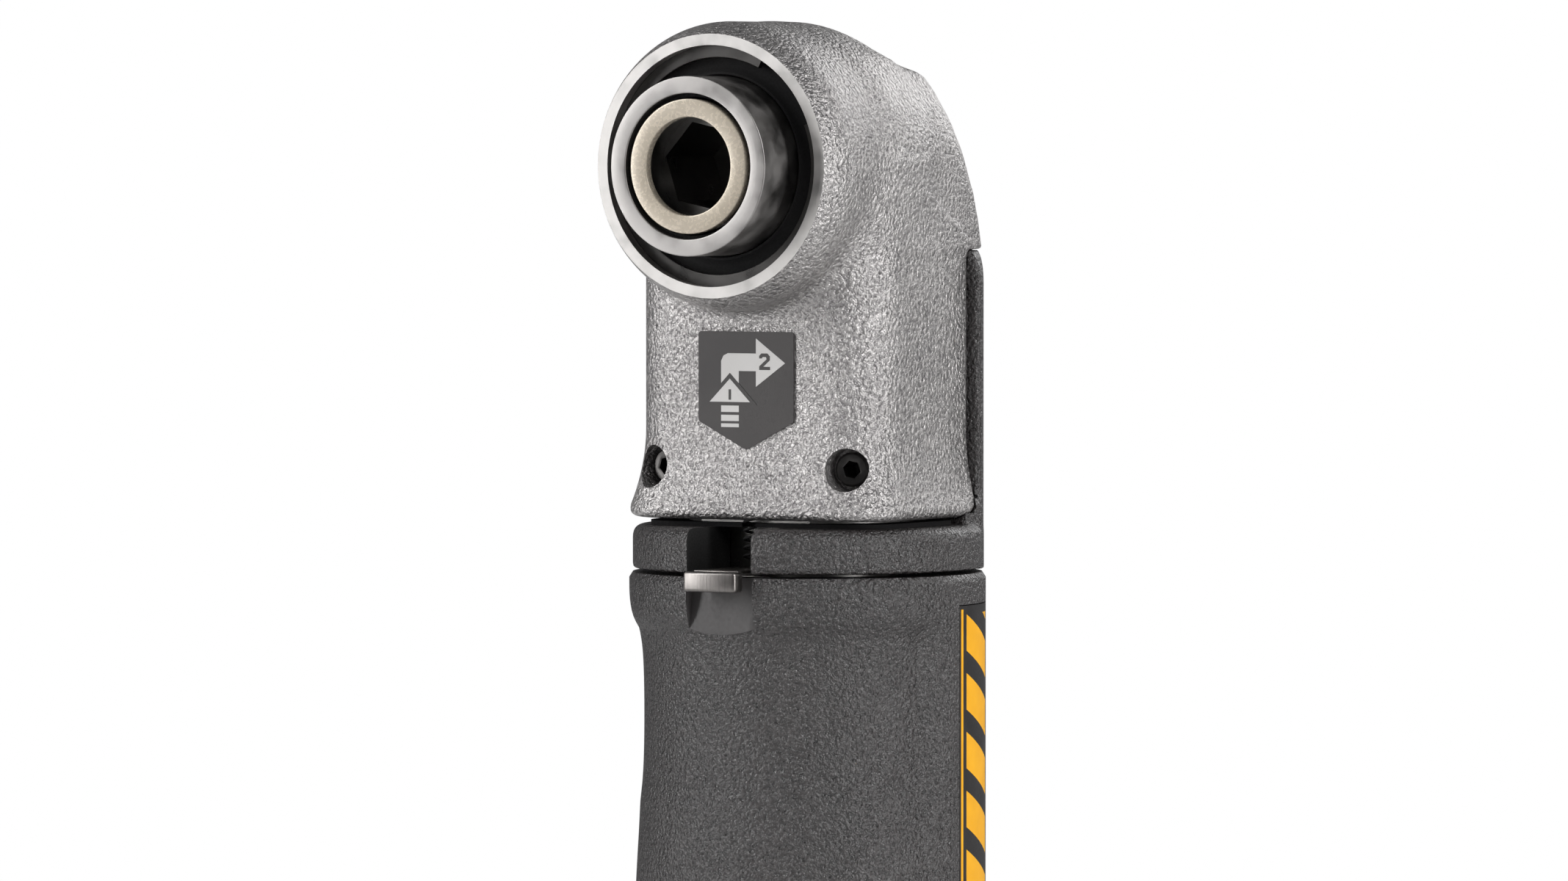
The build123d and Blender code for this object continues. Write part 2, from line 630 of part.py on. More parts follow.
def valve_stem():
    return cyl_y(2.0, -2.5, STEM_END, 0, VALVE_Z) + cyl_y(3.2, -4.0, -2.4, 0, VALVE_Z)


def valve_bush():
    bush = tube_y(4.2, 2.0 + RUN, 6.0, 26.0, 0, VALVE_Z)
    return bush - tube_y(3.3, 2.0, 12.0, 14.2, 0, VALVE_Z)


def throttle_lever():
    """Folded steel lever on the back of the grip, hinged at its top."""
    plate = block(-7.2, 7.2, -1.2, 1.2, -64, 3)
    plate += block(-7.2, -5.4, -3.0, 1.2, -46, 2) + block(5.4, 7.2, -3.0, 1.2, -46, 2)
    plate -= block(-5.4, 5.4, -5, -1.2, -4, 5)
    knuckle = cyl_x(2.8, -7.2, 7.2, 0, 0) - block(-5.4, 5.4, -4, -1.2, -4, 4)
    lever = plate + knuckle - cyl_x(1.6 + RUN, -10, 10, 0, 0)
    tip = Pos(0, 0.6, -64) * Rot(25, 0, 0) * block(-7.2, 7.2, -1.8, 0.6, -5, 1)
    return Pos(0, LEVER_Y, LEVER_Z) * Rot(LEVER_TILT, 0, 0) * (lever + tip)


def air_regulator():
    """Thumb dial with a turning slot, on the stem that throttles the air passage."""
    dial = cyl_x(5.5, -24.6, -21.9, REGULATOR_Y, REGULATOR_Z)
    dial += cyl_x(2.5, -22, -1, REGULATOR_Y, REGULATOR_Z)
    slot = block(-26, -23.8, REGULATOR_Y - 5, REGULATOR_Y + 5, REGULATOR_Z - 0.7, REGULATOR_Z + 0.7)
    return dial - slot


def exhaust_deflector():
    """Turning skirt round the inlet with a fan of slots on one side."""
    cup = tube_z(23.8, 11.4, 0, 12.0) - tube_z(21.4, 13.4, 2.5, 13)
    cup -= tube_z(30, 22.8, -1, 1.0)
    for k in range(7):
        cup -= Rot(0, 0, 60 + 10 * k) * block(20, 26, -1.1, 1.1, 4.0, 10.2)
    return cup


def base_cap():
    cap = cyl_z(GRIP_LOW_R, 12.3, SHELL_LOW) + cyl_z(INSERT_R, 17, 25.8) - cyl_z(9.05, 10, 30)
    for k in range(8):
        a = math.radians(45 * k)
        cap -= cyl_z(2.2, 10, 30, 15.5 * math.cos(a), 15.5 * math.sin(a))
    return cap


def inlet_bushing():
    """Hexagon bushing with a 1/4 in pipe thread; the plain bore stands for the thread."""
    bush = extrude(RegularPolygon(INLET_FLATS / math.sqrt(3), 6), 8.0) + cyl_z(9.0, 7, 35.9)
    bush -= cyl_z(INLET_BORE, -1, INLET_DEPTH) + cyl_z(SCREEN_R + RUN, 12, 14.0)
    return bush - cyl_z(4.2, 10, 40)


NODES = {
    "head_housing": head_housing(),
    "head_collar": head_collar(),
    "head_gasket": head_gasket(),
    "instruction_label": instruction_label(),
    "head_screws": head_screws(),
    "swivel_hub": swivel_hub(),
    "nose_snap_ring": nose_snap_ring(),
    "nose_seal": tube_y(NOSE_BORE, 13.0, -23.1, -21.6),
    "front_bearing": ball_bearing_y(16.0, JOURNAL_R + RUN, -21.4, -14.5),
    "rear_bearing": ball_bearing_y(9.0, REAR_SHAFT_R + RUN, 6.6, 11.5),
    "upper_pinion_bearing": ball_bearing_z(11.0, 5.0 + RUN, 206.0, 213.0),
    "lower_pinion_bearing": ball_bearing_z(9.5, 5.0 + RUN, 166.0, 173.0),
    "latch": latch(),
    "latch_spring": latch_spring(),
    "pinion_shaft": pinion_shaft(),
    "bevel_gear": spindle_gear(),
    "drive_spindle": drive_spindle(),
    "spindle_cap": spindle_cap(),
    "retaining_ball": retaining_ball(),
    "release_sleeve": release_sleeve(),
    "sleeve_spring": sleeve_spring(),
    "pawl": pawl(),
    "pawl_pin": cyl_y(0.9, -14.3, -9.3, 0, PAWL_PIVOT),
    "selector_knob": selector_knob(),
    "pawl_plunger": plunger_place(cyl_z(0.8, 1.4, 3.3)),
    "plunger_spring": plunger_place(Pos(0, 0, -0.1) * coil(0.5, 0.25, 0.45, 1.2)),
    "handle_shell": handle_shell(),
    "side_strips": side_strips(),
    "handle_screws": handle_screws(),
    "lock_ring": lock_ring(),
    "bearing_plate": bearing_plate(),
    "carrier_bearing": ball_bearing_z(9.0, 5.0 + RUN, 146.0, 152.8),
    "ring_gear": ring_gear(),
    "planet_gear_1": planet_gear(0),
    "planet_gear_2": planet_gear(120),
    "planet_gear_3": planet_gear(240),
    "planet_pins": planet_pins(),
    "planet_carrier": planet_carrier(),
    "rotor": rotor(),
    "vanes": vanes(),
    "motor_cylinder": motor_cylinder(),
    "front_end_plate": tube_z(INSERT_R, 8.0, 121.0, 126.9) - cyl_z(4.5, 120, 130),
    "rotor_front_bearing": ball_bearing_z(8.0, 3.0 + RUN, 122.0, 126.8),
    "rear_end_plate": tube_z(INSERT_R, 8.0, 76.0, 80.9),
    "rotor_rear_bearing": ball_bearing_z(8.0, 4.0 + RUN, 76.4, 80.8),
    "valve_body": valve_body(),
    "valve_bush": valve_bush(),
    "valve_o_ring": tube_y(3.25, 2.0 + RUN, 12.2, 14.0, 0, VALVE_Z),
    "valve_stem": valve_stem(),
    "valve_seal": tube_y(3.9, 2.0, -2.4, -0.9, 0, VALVE_Z),
    "valve_spring": Pos(0, -4.3, VALVE_Z) * Rot(90, 0, 0) * coil(2.6, 0.7, 1.5, 9.0),
    "throttle_lever": throttle_lever(),
    "lever_pin": cyl_x(1.6, -10.4, 10.4, LEVER_Y, LEVER_Z),
    "air_regulator": air_regulator(),
    "muffler_felt": tube_z(19.2, 9.3, 26.0, 35.8),
    "base_cap": base_cap(),
    "inlet_bushing": inlet_bushing(),
    "inlet_screen": cyl_z(SCREEN_R, 12.9, 13.9),
    "exhaust_deflector": exhaust_deflector(),
}

for name, shape in NODES.items():
    export_step(shape, f"parts/{name}.step")
print(len(NODES), "nodes written")
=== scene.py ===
import math
import bmesh
import bpy
import numpy as np
from mathutils import Matrix, Vector


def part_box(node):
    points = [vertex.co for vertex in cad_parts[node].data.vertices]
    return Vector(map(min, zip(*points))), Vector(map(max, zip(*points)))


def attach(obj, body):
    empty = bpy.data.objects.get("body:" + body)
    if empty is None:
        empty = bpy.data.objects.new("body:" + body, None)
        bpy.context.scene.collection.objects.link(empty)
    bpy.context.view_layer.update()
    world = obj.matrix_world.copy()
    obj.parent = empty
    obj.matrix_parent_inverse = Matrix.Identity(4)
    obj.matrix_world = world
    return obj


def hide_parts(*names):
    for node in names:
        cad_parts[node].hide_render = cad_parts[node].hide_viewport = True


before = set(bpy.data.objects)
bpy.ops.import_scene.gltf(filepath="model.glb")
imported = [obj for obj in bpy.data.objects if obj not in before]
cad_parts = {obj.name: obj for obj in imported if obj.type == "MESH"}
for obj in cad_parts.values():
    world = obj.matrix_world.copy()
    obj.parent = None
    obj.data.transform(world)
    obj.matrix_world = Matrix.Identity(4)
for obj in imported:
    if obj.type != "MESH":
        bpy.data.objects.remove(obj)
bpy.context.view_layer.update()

# ---- Where the tool is seen from -------------------------------------------------------------
# The tool stands upright on its exhaust skirt. The camera looks at the head from the front
# right at nose height, with a long lens, and the lower half of the grip is out of view.
mm = 0.001
seam_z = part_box("head_housing")[0][2] / mm
nose_z = seam_z + 49.6
view_turn = math.radians(31.0)
view_distance = 1.4
view_width = 0.2197
aside = 3.3 * mm
across = Vector((math.cos(view_turn), math.sin(view_turn), 0))
away = Vector((math.sin(view_turn), -math.cos(view_turn), 0))
aim = Vector((0, 0, (seam_z + 11.0) * mm)) - across * aside
eye = away * view_distance - across * aside + Vector((0, 0, (nose_z + 8) * mm))
camera = bpy.data.objects.new("camera", bpy.data.cameras.new("camera"))
camera.location = eye
camera.rotation_euler = (aim - eye).to_track_quat("-Z", "Y").to_euler()
camera.data.sensor_width = 36.0
camera.data.lens = 36.0 * view_distance / view_width
camera.data.clip_start = 0.05
bpy.context.collection.objects.link(camera)
bpy.context.scene.camera = camera
bpy.context.scene.view_settings.view_transform = "Standard"


# ---- Floor and studio light ------------------------------------------------------------------
# A pale round table top with a white surround behind it, and four soft boxes. Tall ones left
# and right draw the long highlights, a high one fills the front and one behind lights the rim.
def new_material(name, **settings):
    """A node material; settings go on its shader's own sockets. Gives material, tree, shader."""
    material = bpy.data.materials.new(name)
    material.use_nodes = True
    tree = material.node_tree
    shader = tree.nodes["Principled BSDF"]
    for key, value in settings.items():
        shader.inputs[key.replace("_", " ")].default_value = value
    return material, tree, shader


def node(tree, kind, **inputs):
    """Add a node. A capital first letter or _number means a socket, else one of its settings."""
    made = tree.nodes.new(kind)
    settings = {k: v for k, v in inputs.items() if not (k[0].isupper() or k[0] == "_")}
    for key, value in settings.items():
        setattr(made, key, value)
    for key, value in inputs.items():
        if key in settings:
            continue
        socket = made.inputs[int(key[1:])] if key[0] == "_" else made.inputs[key.replace("_", " ")]
        if isinstance(value, bpy.types.NodeSocket):
            tree.links.new(value, socket)
        else:
            socket.default_value = value
    return made


def linked_mesh(name, points, faces, material=None):
    """A mesh object from points in millimetres and faces, linked to the scene."""
    data = bpy.data.meshes.new(name)
    data.from_pydata((np.asarray(points, float) * mm).tolist(), [], [tuple(f) for f in faces])
    data.update()
    thing = bpy.data.objects.new(name, data)
    bpy.context.collection.objects.link(thing)
    if material:
        data.materials.append(material)
    return thing


table_grey, tree, shader = new_material("table_top", Roughness=0.7)
cloud = node(tree, "ShaderNodeTexNoise", Scale=3.0)
shade = node(tree, "ShaderNodeMapRange", Value=cloud.outputs["Fac"], To_Min=0.86, To_Max=0.9)
tint = node(tree, "ShaderNodeCombineColor", Red=shade.outputs[0], Green=shade.outputs[0],
            Blue=shade.outputs[0])
tree.links.new(tint.outputs[0], shader.inputs["Base Color"])
table_r = 1100
edge = [(table_r * math.cos(math.tau * i / 96), table_r * math.sin(math.tau * i / 96), 0)
        for i in range(96)]
floor = linked_mesh("floor", edge, [range(96)], table_grey)

world = bpy.data.worlds.new("studio")
bpy.context.scene.world = world
world.use_nodes = True
tree = world.node_tree
ray = node(tree, "ShaderNodeLightPath")
surround = node(tree, "ShaderNodeMixRGB", Fac=ray.outputs["Is Camera Ray"],
                Color1=(0.13, 0.13, 0.133, 1), Color2=(1, 1, 1, 1))
tree.links.new(surround.outputs[0], tree.nodes["Background"].inputs["Color"])


def soft_box(name, turn, height, distance, width, tall, power):
    """A rectangular lamp at this turn from the nose's direction, facing the head."""
    lamp = bpy.data.lights.new(name, "AREA")
    lamp.shape = "RECTANGLE"
    lamp.size = width
    lamp.size_y = tall
    lamp.energy = power
    holder = bpy.data.objects.new(name, lamp)
    side = Vector((math.sin(math.radians(turn)), -math.cos(math.radians(turn)), 0))
    holder.location = side * distance + Vector((0, 0, height))
    middle = Vector((0, 0, (nose_z - 40) * mm))
    holder.rotation_euler = (middle - holder.location).to_track_quat("-Z", "Y").to_euler()
    bpy.context.collection.objects.link(holder)


soft_box("key_left", -46, 0.45, 0.8, 0.16, 0.9, 5.2)
soft_box("strip_right", 88, 0.40, 0.8, 0.12, 0.9, 5.0)
soft_box("fill_front", 52, 0.90, 1.2, 0.40, 0.4, 3.0)
soft_box("rim_back", 175, 0.6, 0.9, 0.5, 0.5, 2.5)


# ---- Head casting ----------------------------------------------------------------------------
# One pressure die casting in aluminium, painted silver: nose barrel, sloping gear hump and a
# square foot that flares over the collar. The rim, the bore and the screw holes are machined.
def soft_min(a, b, reach):
    """Join two distance fields with a fillet of this reach."""
    h = np.clip(0.5 + 0.5 * (b - a) / reach, 0, 1)
    return b * (1 - h) + a * h - reach * h * (1 - h)


def soft_max(a, b, reach):
    """Keep what lies in both distance fields, with a round of this reach on the edge."""
    return -soft_min(-a, -b, reach)


def skin(name, field, low, high, step, material):
    """Closed mesh of the surface where a distance field crosses zero, inside a box."""
    axes = [np.arange(low[i] - step, high[i] + 2 * step, step) for i in range(3)]
    value = field(*np.meshgrid(*axes, indexing="ij"))
    inside = value < 0
    size = [n - 1 for n in value.shape]
    corners = [tuple(slice(o[i], o[i] + size[i]) for i in range(3)) for o in np.ndindex(2, 2, 2)]
    count = sum(inside[c].astype(int) for c in corners)
    cells = (count > 0) & (count < 8)
    number = np.full(cells.shape, -1)
    number[cells] = np.arange(cells.sum())
    place = np.argwhere(cells)
    points = np.stack([axes[i][place[:, i]] + step / 2 for i in range(3)], 1)
    nudge = np.eye(3) * step * 0.1
    for _ in range(6):
        here = field(*points.T)
        slope = np.stack([field(*(points + n).T) - field(*(points - n).T) for n in nudge], 1)
        slope /= step * 0.2
        move = here[:, None] * slope / np.maximum((slope ** 2).sum(1), 0.05)[:, None]
        points -= np.clip(move, -step * 0.6, step * 0.6)
    faces = []
    for axis in range(3):
        one, two = [i for i in range(3) if i != axis]
        near = [slice(None)] * 3
        far = [slice(None)] * 3
        near[axis] = slice(0, -1)
        far[axis] = slice(1, None)
        spots = np.argwhere(inside[tuple(near)] != inside[tuple(far)])
        keep = (spots[:, one] > 0) & (spots[:, two] > 0)
        keep &= (spots[:, one] < size[one]) & (spots[:, two] < size[two])
        spots = spots[keep]
        ring = []
        for a, b in ((1, 1), (0, 1), (0, 0), (1, 0)):
            cell = spots.copy()
            cell[:, one] -= a
            cell[:, two] -= b
            ring.append(number[tuple(cell.T)])
        ring = np.stack(ring, 1)
        flip = inside[tuple(spots.T)] == (axis == 1)
        ring[flip] = ring[flip][:, ::-1]
        faces.append(ring)
    piece = linked_mesh(name, points, np.concatenate(faces), material)
    outward(piece)
    return piece


def outward(piece):
    """Turn the faces of a closed mesh outwards."""
    shape = bmesh.new()
    shape.from_mesh(piece.data)
    bmesh.ops.recalc_face_normals(shape, faces=shape.faces)
    if shape.calc_volume(signed=True) < 0:
        bmesh.ops.reverse_faces(shape, faces=shape.faces)
    shape.to_mesh(piece.data)
    shape.free()


back_heights = (-13.0, -11.6, -7.5, -3.4, 0.7, 4.8, 8.95, 13.1, 15.5, 17.2, 18.6, 19.6, 21.0)
back_reach = (19.6, 19.6, 18.6, 17.2, 15.1, 13.1, 11.7, 11.2, 7.5, 1.0, -3.5, -6.0, -12.0)


barrel_r = 20.0
barrel_taper_y = -20.8
hump_low = 37.8
foot_corner_r = 8.0
heel_r = 3.8


def foot_flare(height):
    """How far the square foot spreads outwards at this height above the seam."""
    return 1.6 * np.clip(1 - (height - 2) / 11, 0, 1) ** 2


def round_corner(over_a, over_b, radius):
    """Field of a rectangle's rounded corner, from the distances past its centre lines."""
    field = np.hypot(np.maximum(over_a, 0), np.maximum(over_b, 0)) - radius
    return field + np.minimum(np.maximum(over_a, over_b), 0)


def head_field(x, y, z):
    """Distance field of the casting's outside, without the machined openings."""
    w = z - nose_z
    height = z - seam_z
    from_axis = np.hypot(x, w)
    forward = np.maximum(barrel_taper_y - y, 0)
    barrel = soft_max(from_axis - barrel_r + 0.06 * forward ** 2, y - 1.0, 6)
    reach = np.interp(w, back_heights, back_reach)
    above = np.interp(w + 0.8, back_heights, back_reach)
    lean = above - np.interp(w - 0.8, back_heights, back_reach)
    hump_back = (y - reach) / np.sqrt(1 + (lean / 1.6) ** 2)
    hump = soft_max(np.hypot(x, np.maximum(w, 0)) - 19.8, hump_back, 8.0)
    hump = soft_max(hump, -11 - y, 4)
    hump = soft_max(hump, hump_low - height, 0.6)
    flare = foot_flare(height)
    plan = round_corner(np.abs(x) - 12.0 - flare, -y - 8.4 - flare, foot_corner_r)
    rise = np.clip((height - 38.5) / 9, 0, 1)
    limit = 10.8 - 9.8 * rise * rise * (3 - 2 * rise)
    heel = np.hypot(np.maximum(y - limit + heel_r, 0), np.maximum(heel_r - height, 0)) - heel_r
    walls = np.maximum(soft_max(plan, heel, 1.6 + 4.4 * rise), w)
    round_back = np.maximum(np.maximum(np.hypot(x, y) - 18.2, -y), height - 39.6)
    lower = soft_max(soft_min(walls, round_back, 0.4), -height, 1.6)
    boss = np.maximum(np.maximum(from_axis - 9.6, y - 19.4), -y)
    return soft_min(soft_min(barrel, soft_min(lower, hump, 1.0), 3.0), boss, 1.2)


def object_point(tree):
    """The point on the piece, in its own coordinates."""
    return node(tree, "ShaderNodeTexCoord").outputs["Object"]


def noise(tree, point, scale, detail=2.0, rough=0.5):
    """Cloudy noise of this scale, in clouds per metre."""
    return node(tree, "ShaderNodeTexNoise", Vector=point, Scale=scale, Detail=detail,
                Roughness=rough)


def between(tree, factor, low, high):
    """Colour between two others, by this factor."""
    ramp = node(tree, "ShaderNodeValToRGB", Fac=factor)
    ramp.color_ramp.elements[0].position = 0.3
    ramp.color_ramp.elements[0].color = (*low, 1)
    ramp.color_ramp.elements[1].position = 0.7
    ramp.color_ramp.elements[1].color = (*high, 1)
    return ramp.outputs["Color"]


def grained(name, low, high, rough, grain_mm, depth_mm, metallic=0.0, strength=0.6, speckle=0.0,
            **settings):
    """A finish with an even grain, as paint or moulded texture. Speckle 0 gives cloudy colour,
    1 gives every grain its own."""
    material, tree, shader = new_material(name, Metallic=metallic, **settings)
    point = object_point(tree)
    broad = noise(tree, point, 70.0, 3.0)
    grain = noise(tree, point, 1.0 / (grain_mm * mm), 2.0, 0.5)
    fine = noise(tree, point, 3.0 / (grain_mm * mm), 1.0)
    cloud = node(tree, "ShaderNodeMath", operation="MULTIPLY", _0=broad.outputs["Fac"],
                 _1=1.0 - speckle)
    mixed = node(tree, "ShaderNodeMath", operation="MULTIPLY_ADD", _0=grain.outputs["Fac"],
                 _1=speckle, _2=cloud.outputs[0])
    tone = between(tree, mixed.outputs[0], low, high)
    tree.links.new(tone, shader.inputs["Base Color"])
    dull = node(tree, "ShaderNodeMapRange", Value=grain.outputs["Fac"], From_Min=0.3, From_Max=0.7,
                To_Min=rough * 0.82, To_Max=rough * 1.2)
    tree.links.new(dull.outputs[0], shader.inputs["Roughness"])
    peel = node(tree, "ShaderNodeBump", Height=grain.outputs["Fac"], Strength=strength,
                Distance=depth_mm * mm)
    tooth = node(tree, "ShaderNodeBump", Height=fine.outputs["Fac"], Strength=strength * 0.5,
                 Distance=depth_mm * 0.3 * mm, Normal=peel.outputs[0])
    tree.links.new(tooth.outputs[0], shader.inputs["Normal"])
    return material


def turned_metal(name, colour, rough, pitch_mm, axis="Y", metallic=1.0, centre=(0, 0, 0)):
    """Machined metal with fine turning rings about an axis through this centre."""
    material, tree, shader = new_material(name, Metallic=metallic)
    point = object_point(tree)
    moved = node(tree, "ShaderNodeVectorMath", operation="SUBTRACT", _0=point,
                 _1=[c * mm for c in centre])
    split = node(tree, "ShaderNodeSeparateXYZ", Vector=moved.outputs[0])
    along, one, two = {"Y": (1, 0, 2), "Z": (2, 0, 1)}[axis]
    flat = node(tree, "ShaderNodeCombineXYZ", X=split.outputs[one], Y=split.outputs[two])
    radius = node(tree, "ShaderNodeVectorMath", operation="LENGTH", _0=flat.outputs[0])
    ringed = node(tree, "ShaderNodeCombineXYZ", X=radius.outputs["Value"], Y=split.outputs[along])
    lines = noise(tree, ringed.outputs[0], 1.0 / (pitch_mm * mm), 2.0)
    patch = noise(tree, point, 260.0, 3.0)
    dark = [c * 0.72 for c in colour]
    tree.links.new(between(tree, patch.outputs["Fac"], dark, colour), shader.inputs["Base Color"])
    dull = node(tree, "ShaderNodeMapRange", Value=patch.outputs["Fac"], From_Min=0.3, From_Max=0.7,
                To_Min=rough * 0.75, To_Max=rough * 1.3)
    tree.links.new(dull.outputs[0], shader.inputs["Roughness"])
    groove = node(tree, "ShaderNodeBump", Height=lines.outputs["Fac"], Strength=0.3,
                  Distance=0.02 * mm)
    tree.links.new(groove.outputs[0], shader.inputs["Normal"])
    return material


def tool_y(radius, front, back, x=0.0, z=nose_z, sides=96):
    """Closed cylinder along Y that cuts an opening."""
    ring = [(radius * math.cos(math.tau * i / sides), radius * math.sin(math.tau * i / sides))
            for i in range(sides)]
    points = [(x + a, y, z + b) for y in (front, back) for a, b in ring]
    faces = [tuple(range(sides)), tuple(reversed(range(sides, 2 * sides)))]
    faces += [(i + sides, (i + 1) % sides + sides, (i + 1) % sides, i) for i in range(sides)]
    cutter = linked_mesh("cutter", points, faces)
    outward(cutter)
    return cutter


def tool_z(radius, low, high, x=0.0, y=0.0, sides=96):
    """Closed cylinder along Z that cuts an opening."""
    cutter = tool_y(radius, -high, -low, x, y, sides)
    cutter.data.transform(Matrix.Rotation(math.radians(-90), 4, "X"))
    outward(cutter)
    return cutter


def tool_box(x0, x1, y0, y1, z0, z1):
    """Closed box that cuts an opening."""
    points = [(x, y, z) for x in (x0, x1) for y in (y0, y1) for z in (z0, z1)]
    faces = [(0, 1, 3, 2), (4, 6, 7, 5), (0, 4, 5, 1), (2, 3, 7, 6), (0, 2, 6, 4), (1, 5, 7, 3)]
    return linked_mesh("cutter", points, faces)


def cut(piece, cutters, material=None, operation="DIFFERENCE"):
    """Take cutters out of a piece, or join them on; new faces get the material."""
    for cutter in cutters:
        if material:
            cutter.data.materials.append(material)
        change = piece.modifiers.new("cut", "BOOLEAN")
        change.object = cutter
        change.operation = operation
        change.solver = "EXACT"
        change.material_mode = "TRANSFER"
        graph = bpy.context.evaluated_depsgraph_get()
        settled = bpy.data.meshes.new_from_object(piece.evaluated_get(graph))
        piece.modifiers.clear()
        piece.data = settled
        bpy.data.objects.remove(cutter)


def smooth_over(piece, angle):
    """Shade smooth, with edges sharper than this angle kept crisp."""
    shape = bmesh.new()
    shape.from_mesh(piece.data)
    limit = math.radians(angle)
    for face in shape.faces:
        face.smooth = True
    for edge in shape.edges:
        edge.smooth = len(edge.link_faces) == 2 and edge.calc_face_angle(0) < limit
    shape.to_mesh(piece.data)
    shape.free()


def finish_piece(piece, body, slot, *nodes):
    """Hand a finished piece to its body, in place of these CAD nodes."""
    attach(piece, body)
    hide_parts(*nodes)


def aimed(cutter, place, facing):
    """Move a cutter drawn along Y at the nose so that its -Y end faces this way."""
    turn = Vector((0, -1, 0)).rotation_difference(Vector(facing))
    cutter.data.transform(Matrix.Translation(Vector(place) * mm) @ turn.to_matrix().to_4x4())
    outward(cutter)
    return cutter


screw_places = []
for side in (-1, 1):
    splay = math.radians(13) * side
    facing = (math.sin(splay), -math.cos(splay), 0)
    screw_places.append(((15.1 * side, -13.4, seam_z + 7.6), facing))
low, high = (Vector(c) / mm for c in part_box("head_housing"))
silver = grained("cast_alloy", (0.24, 0.23, 0.23), (0.64, 0.62, 0.61), 0.37, 0.55, 0.50, 0.9,
                 1.0, 0.75)
machined = turned_metal("machined_rim", (0.58, 0.565, 0.55), 0.42, 0.12, centre=(0, 0, nose_z))
casting = skin("head_casting", head_field, (low[0], low[1] - 1.5, low[2]), high, 0.5, silver)
rim_y = low[1]
cut(casting, [tool_y(30, rim_y - 8, rim_y), tool_y(16.7, rim_y - 1, -24.0),
              tool_y(17.0, -24.2, -21.6)], machined)
cut(casting, [tool_y(17.8, -24.4, -23.2), tool_y(16.0, -22, -14.4), tool_y(14.6, -15, 1),
              tool_y(11, 0, 6.5), tool_y(9, 6, 11.6), tool_y(5.8, 11, 21), tool_z(11, 203, 213.2),
              tool_z(9, 213, nose_z)], machined)
recesses = [aimed(tool_y(3.0, -8.0, 1.9, 0, 0, 90), p, f) for p, f in screw_places]
screw_holes = [aimed(tool_y(1.7, 1.0, 12.0, 0, 0, 50), p, f) for p, f in screw_places]
cut(casting, recesses, silver)
cut(casting, screw_holes, machined)
# The hub's seat is flattened at the front, to leave a wall behind the label.
hub_seat = tool_z(16.6, seam_z - 1, 204)
seat_front = -14.1
for corner in hub_seat.data.vertices:
    corner.co.y = max(corner.co.y, seat_front * mm)
cut(casting, [hub_seat], machined)
smooth_over(casting, 35)
finish_piece(casting, "head", "cast_alloy", "head_housing")


# ---- Collar and back bumper ------------------------------------------------------------------
# One glass-filled nylon moulding under the casting. Its ring carries the latch, and a tall
# bumper with round shoulders stands up the back of the head. Spark-eroded texture all over.
collar_low = seam_z - 6.8
gasket_low = seam_z - 0.6
seam_gap = 0.14
slot_half = 5.2


def collar_field(x, y, z):
    """Distance field of the ring and the bumper, fitted round the casting with a thin gap."""
    height = z - seam_z
    r = np.hypot(x, y)
    ring = soft_max(soft_max(r - 24.5, height + 0.6, 1.9), collar_low - z, 0.7)
    arch = round_corner(np.abs(x) - 16.2, height - 32.8, 6.0)
    bumper = soft_max(soft_max(r - 24.8, arch, 2.4), 10.9 - y, 1.2)
    bumper = np.maximum(np.maximum(bumper, 18.3 - r), collar_low - z)
    heel_fill = np.maximum(np.abs(x) - 20.1 - foot_flare(height), np.abs(y - 9.0) - 2.5)
    heel_fill = np.maximum(heel_fill, np.abs(height - 1.6) - 2.6)
    whole = soft_min(soft_min(ring, bumper, 0.6), np.maximum(heel_fill, r - 24.4), 0.3)
    return np.maximum(whole, seam_gap - head_field(x, y, z))


nylon = grained("black_nylon", (0.003, 0.0026, 0.0026), (0.046, 0.039, 0.039), 0.31, 0.5, 0.5,
                0.0, 1.0, 0.85, Specular_IOR_Level=0.95)
low, high = (Vector(c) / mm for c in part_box("head_collar"))
collar = skin("collar_and_bumper", collar_field, low, high, 0.5, nylon)
cut(collar, [tool_z(13.4, collar_low - 1, gasket_low + 1)], nylon)
# Near-black painted shade, given to the slot's cut faces where the slot's inside lies in shadow.
slot_shade = grained("slot_shade", (0.003, 0.003, 0.003), (0.006, 0.0055, 0.0055), 0.8, 0.4, 0.05)
cut(collar, [tool_box(-slot_half, slot_half, -26, -12, collar_low - 1, seam_z + 1)], slot_shade)
smooth_over(collar, 35)
finish_piece(collar, "head", "black_nylon", "head_collar")


# ---- Seam gasket -----------------------------------------------------------------------------
# Thin die-cut rubber sheet pinched between the casting and the collar. Only its edge shows.
def dress(material, *nodes):
    """Give CAD nodes a finish."""
    for name in nodes:
        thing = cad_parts[name]
        if not thing.material_slots:
            thing.data.materials.append(material)
        for holder in thing.material_slots:
            holder.material = material


rubber = grained("seal_rubber", (0.014, 0.014, 0.015), (0.022, 0.021, 0.021), 0.75, 0.3, 0.05,
                 0.0, 0.5, Specular_IOR_Level=0.1)
dress(rubber, "head_gasket", "valve_o_ring", "valve_seal")


# ---- Instruction label -----------------------------------------------------------------------
# Shield-shaped aluminium plate, anodised dark and glued to the flat front. The bent arrow and
# the triangle are screen printed in pale grey, with the step numbers left dark in them.
def plate(name, outline, front, back, material):
    """Flat plate of this outline (x, z) between two planes facing the front."""
    count = len(outline)
    points = [(x, y, z) for y in (front, back) for x, z in outline]
    faces = [tuple(range(count)), tuple(reversed(range(count, 2 * count)))]
    faces += [(i + count, (i + 1) % count + count, (i + 1) % count, i) for i in range(count)]
    piece = linked_mesh(name, points, faces, material)
    outward(piece)
    return piece


def join(pieces, name):
    """Make one mesh of several, keeping their materials."""
    main = pieces[0]
    with bpy.context.temp_override(active_object=main, object=main, selected_objects=pieces,
                                   selected_editable_objects=pieces):
        bpy.ops.object.join()
    main.name = name
    return main


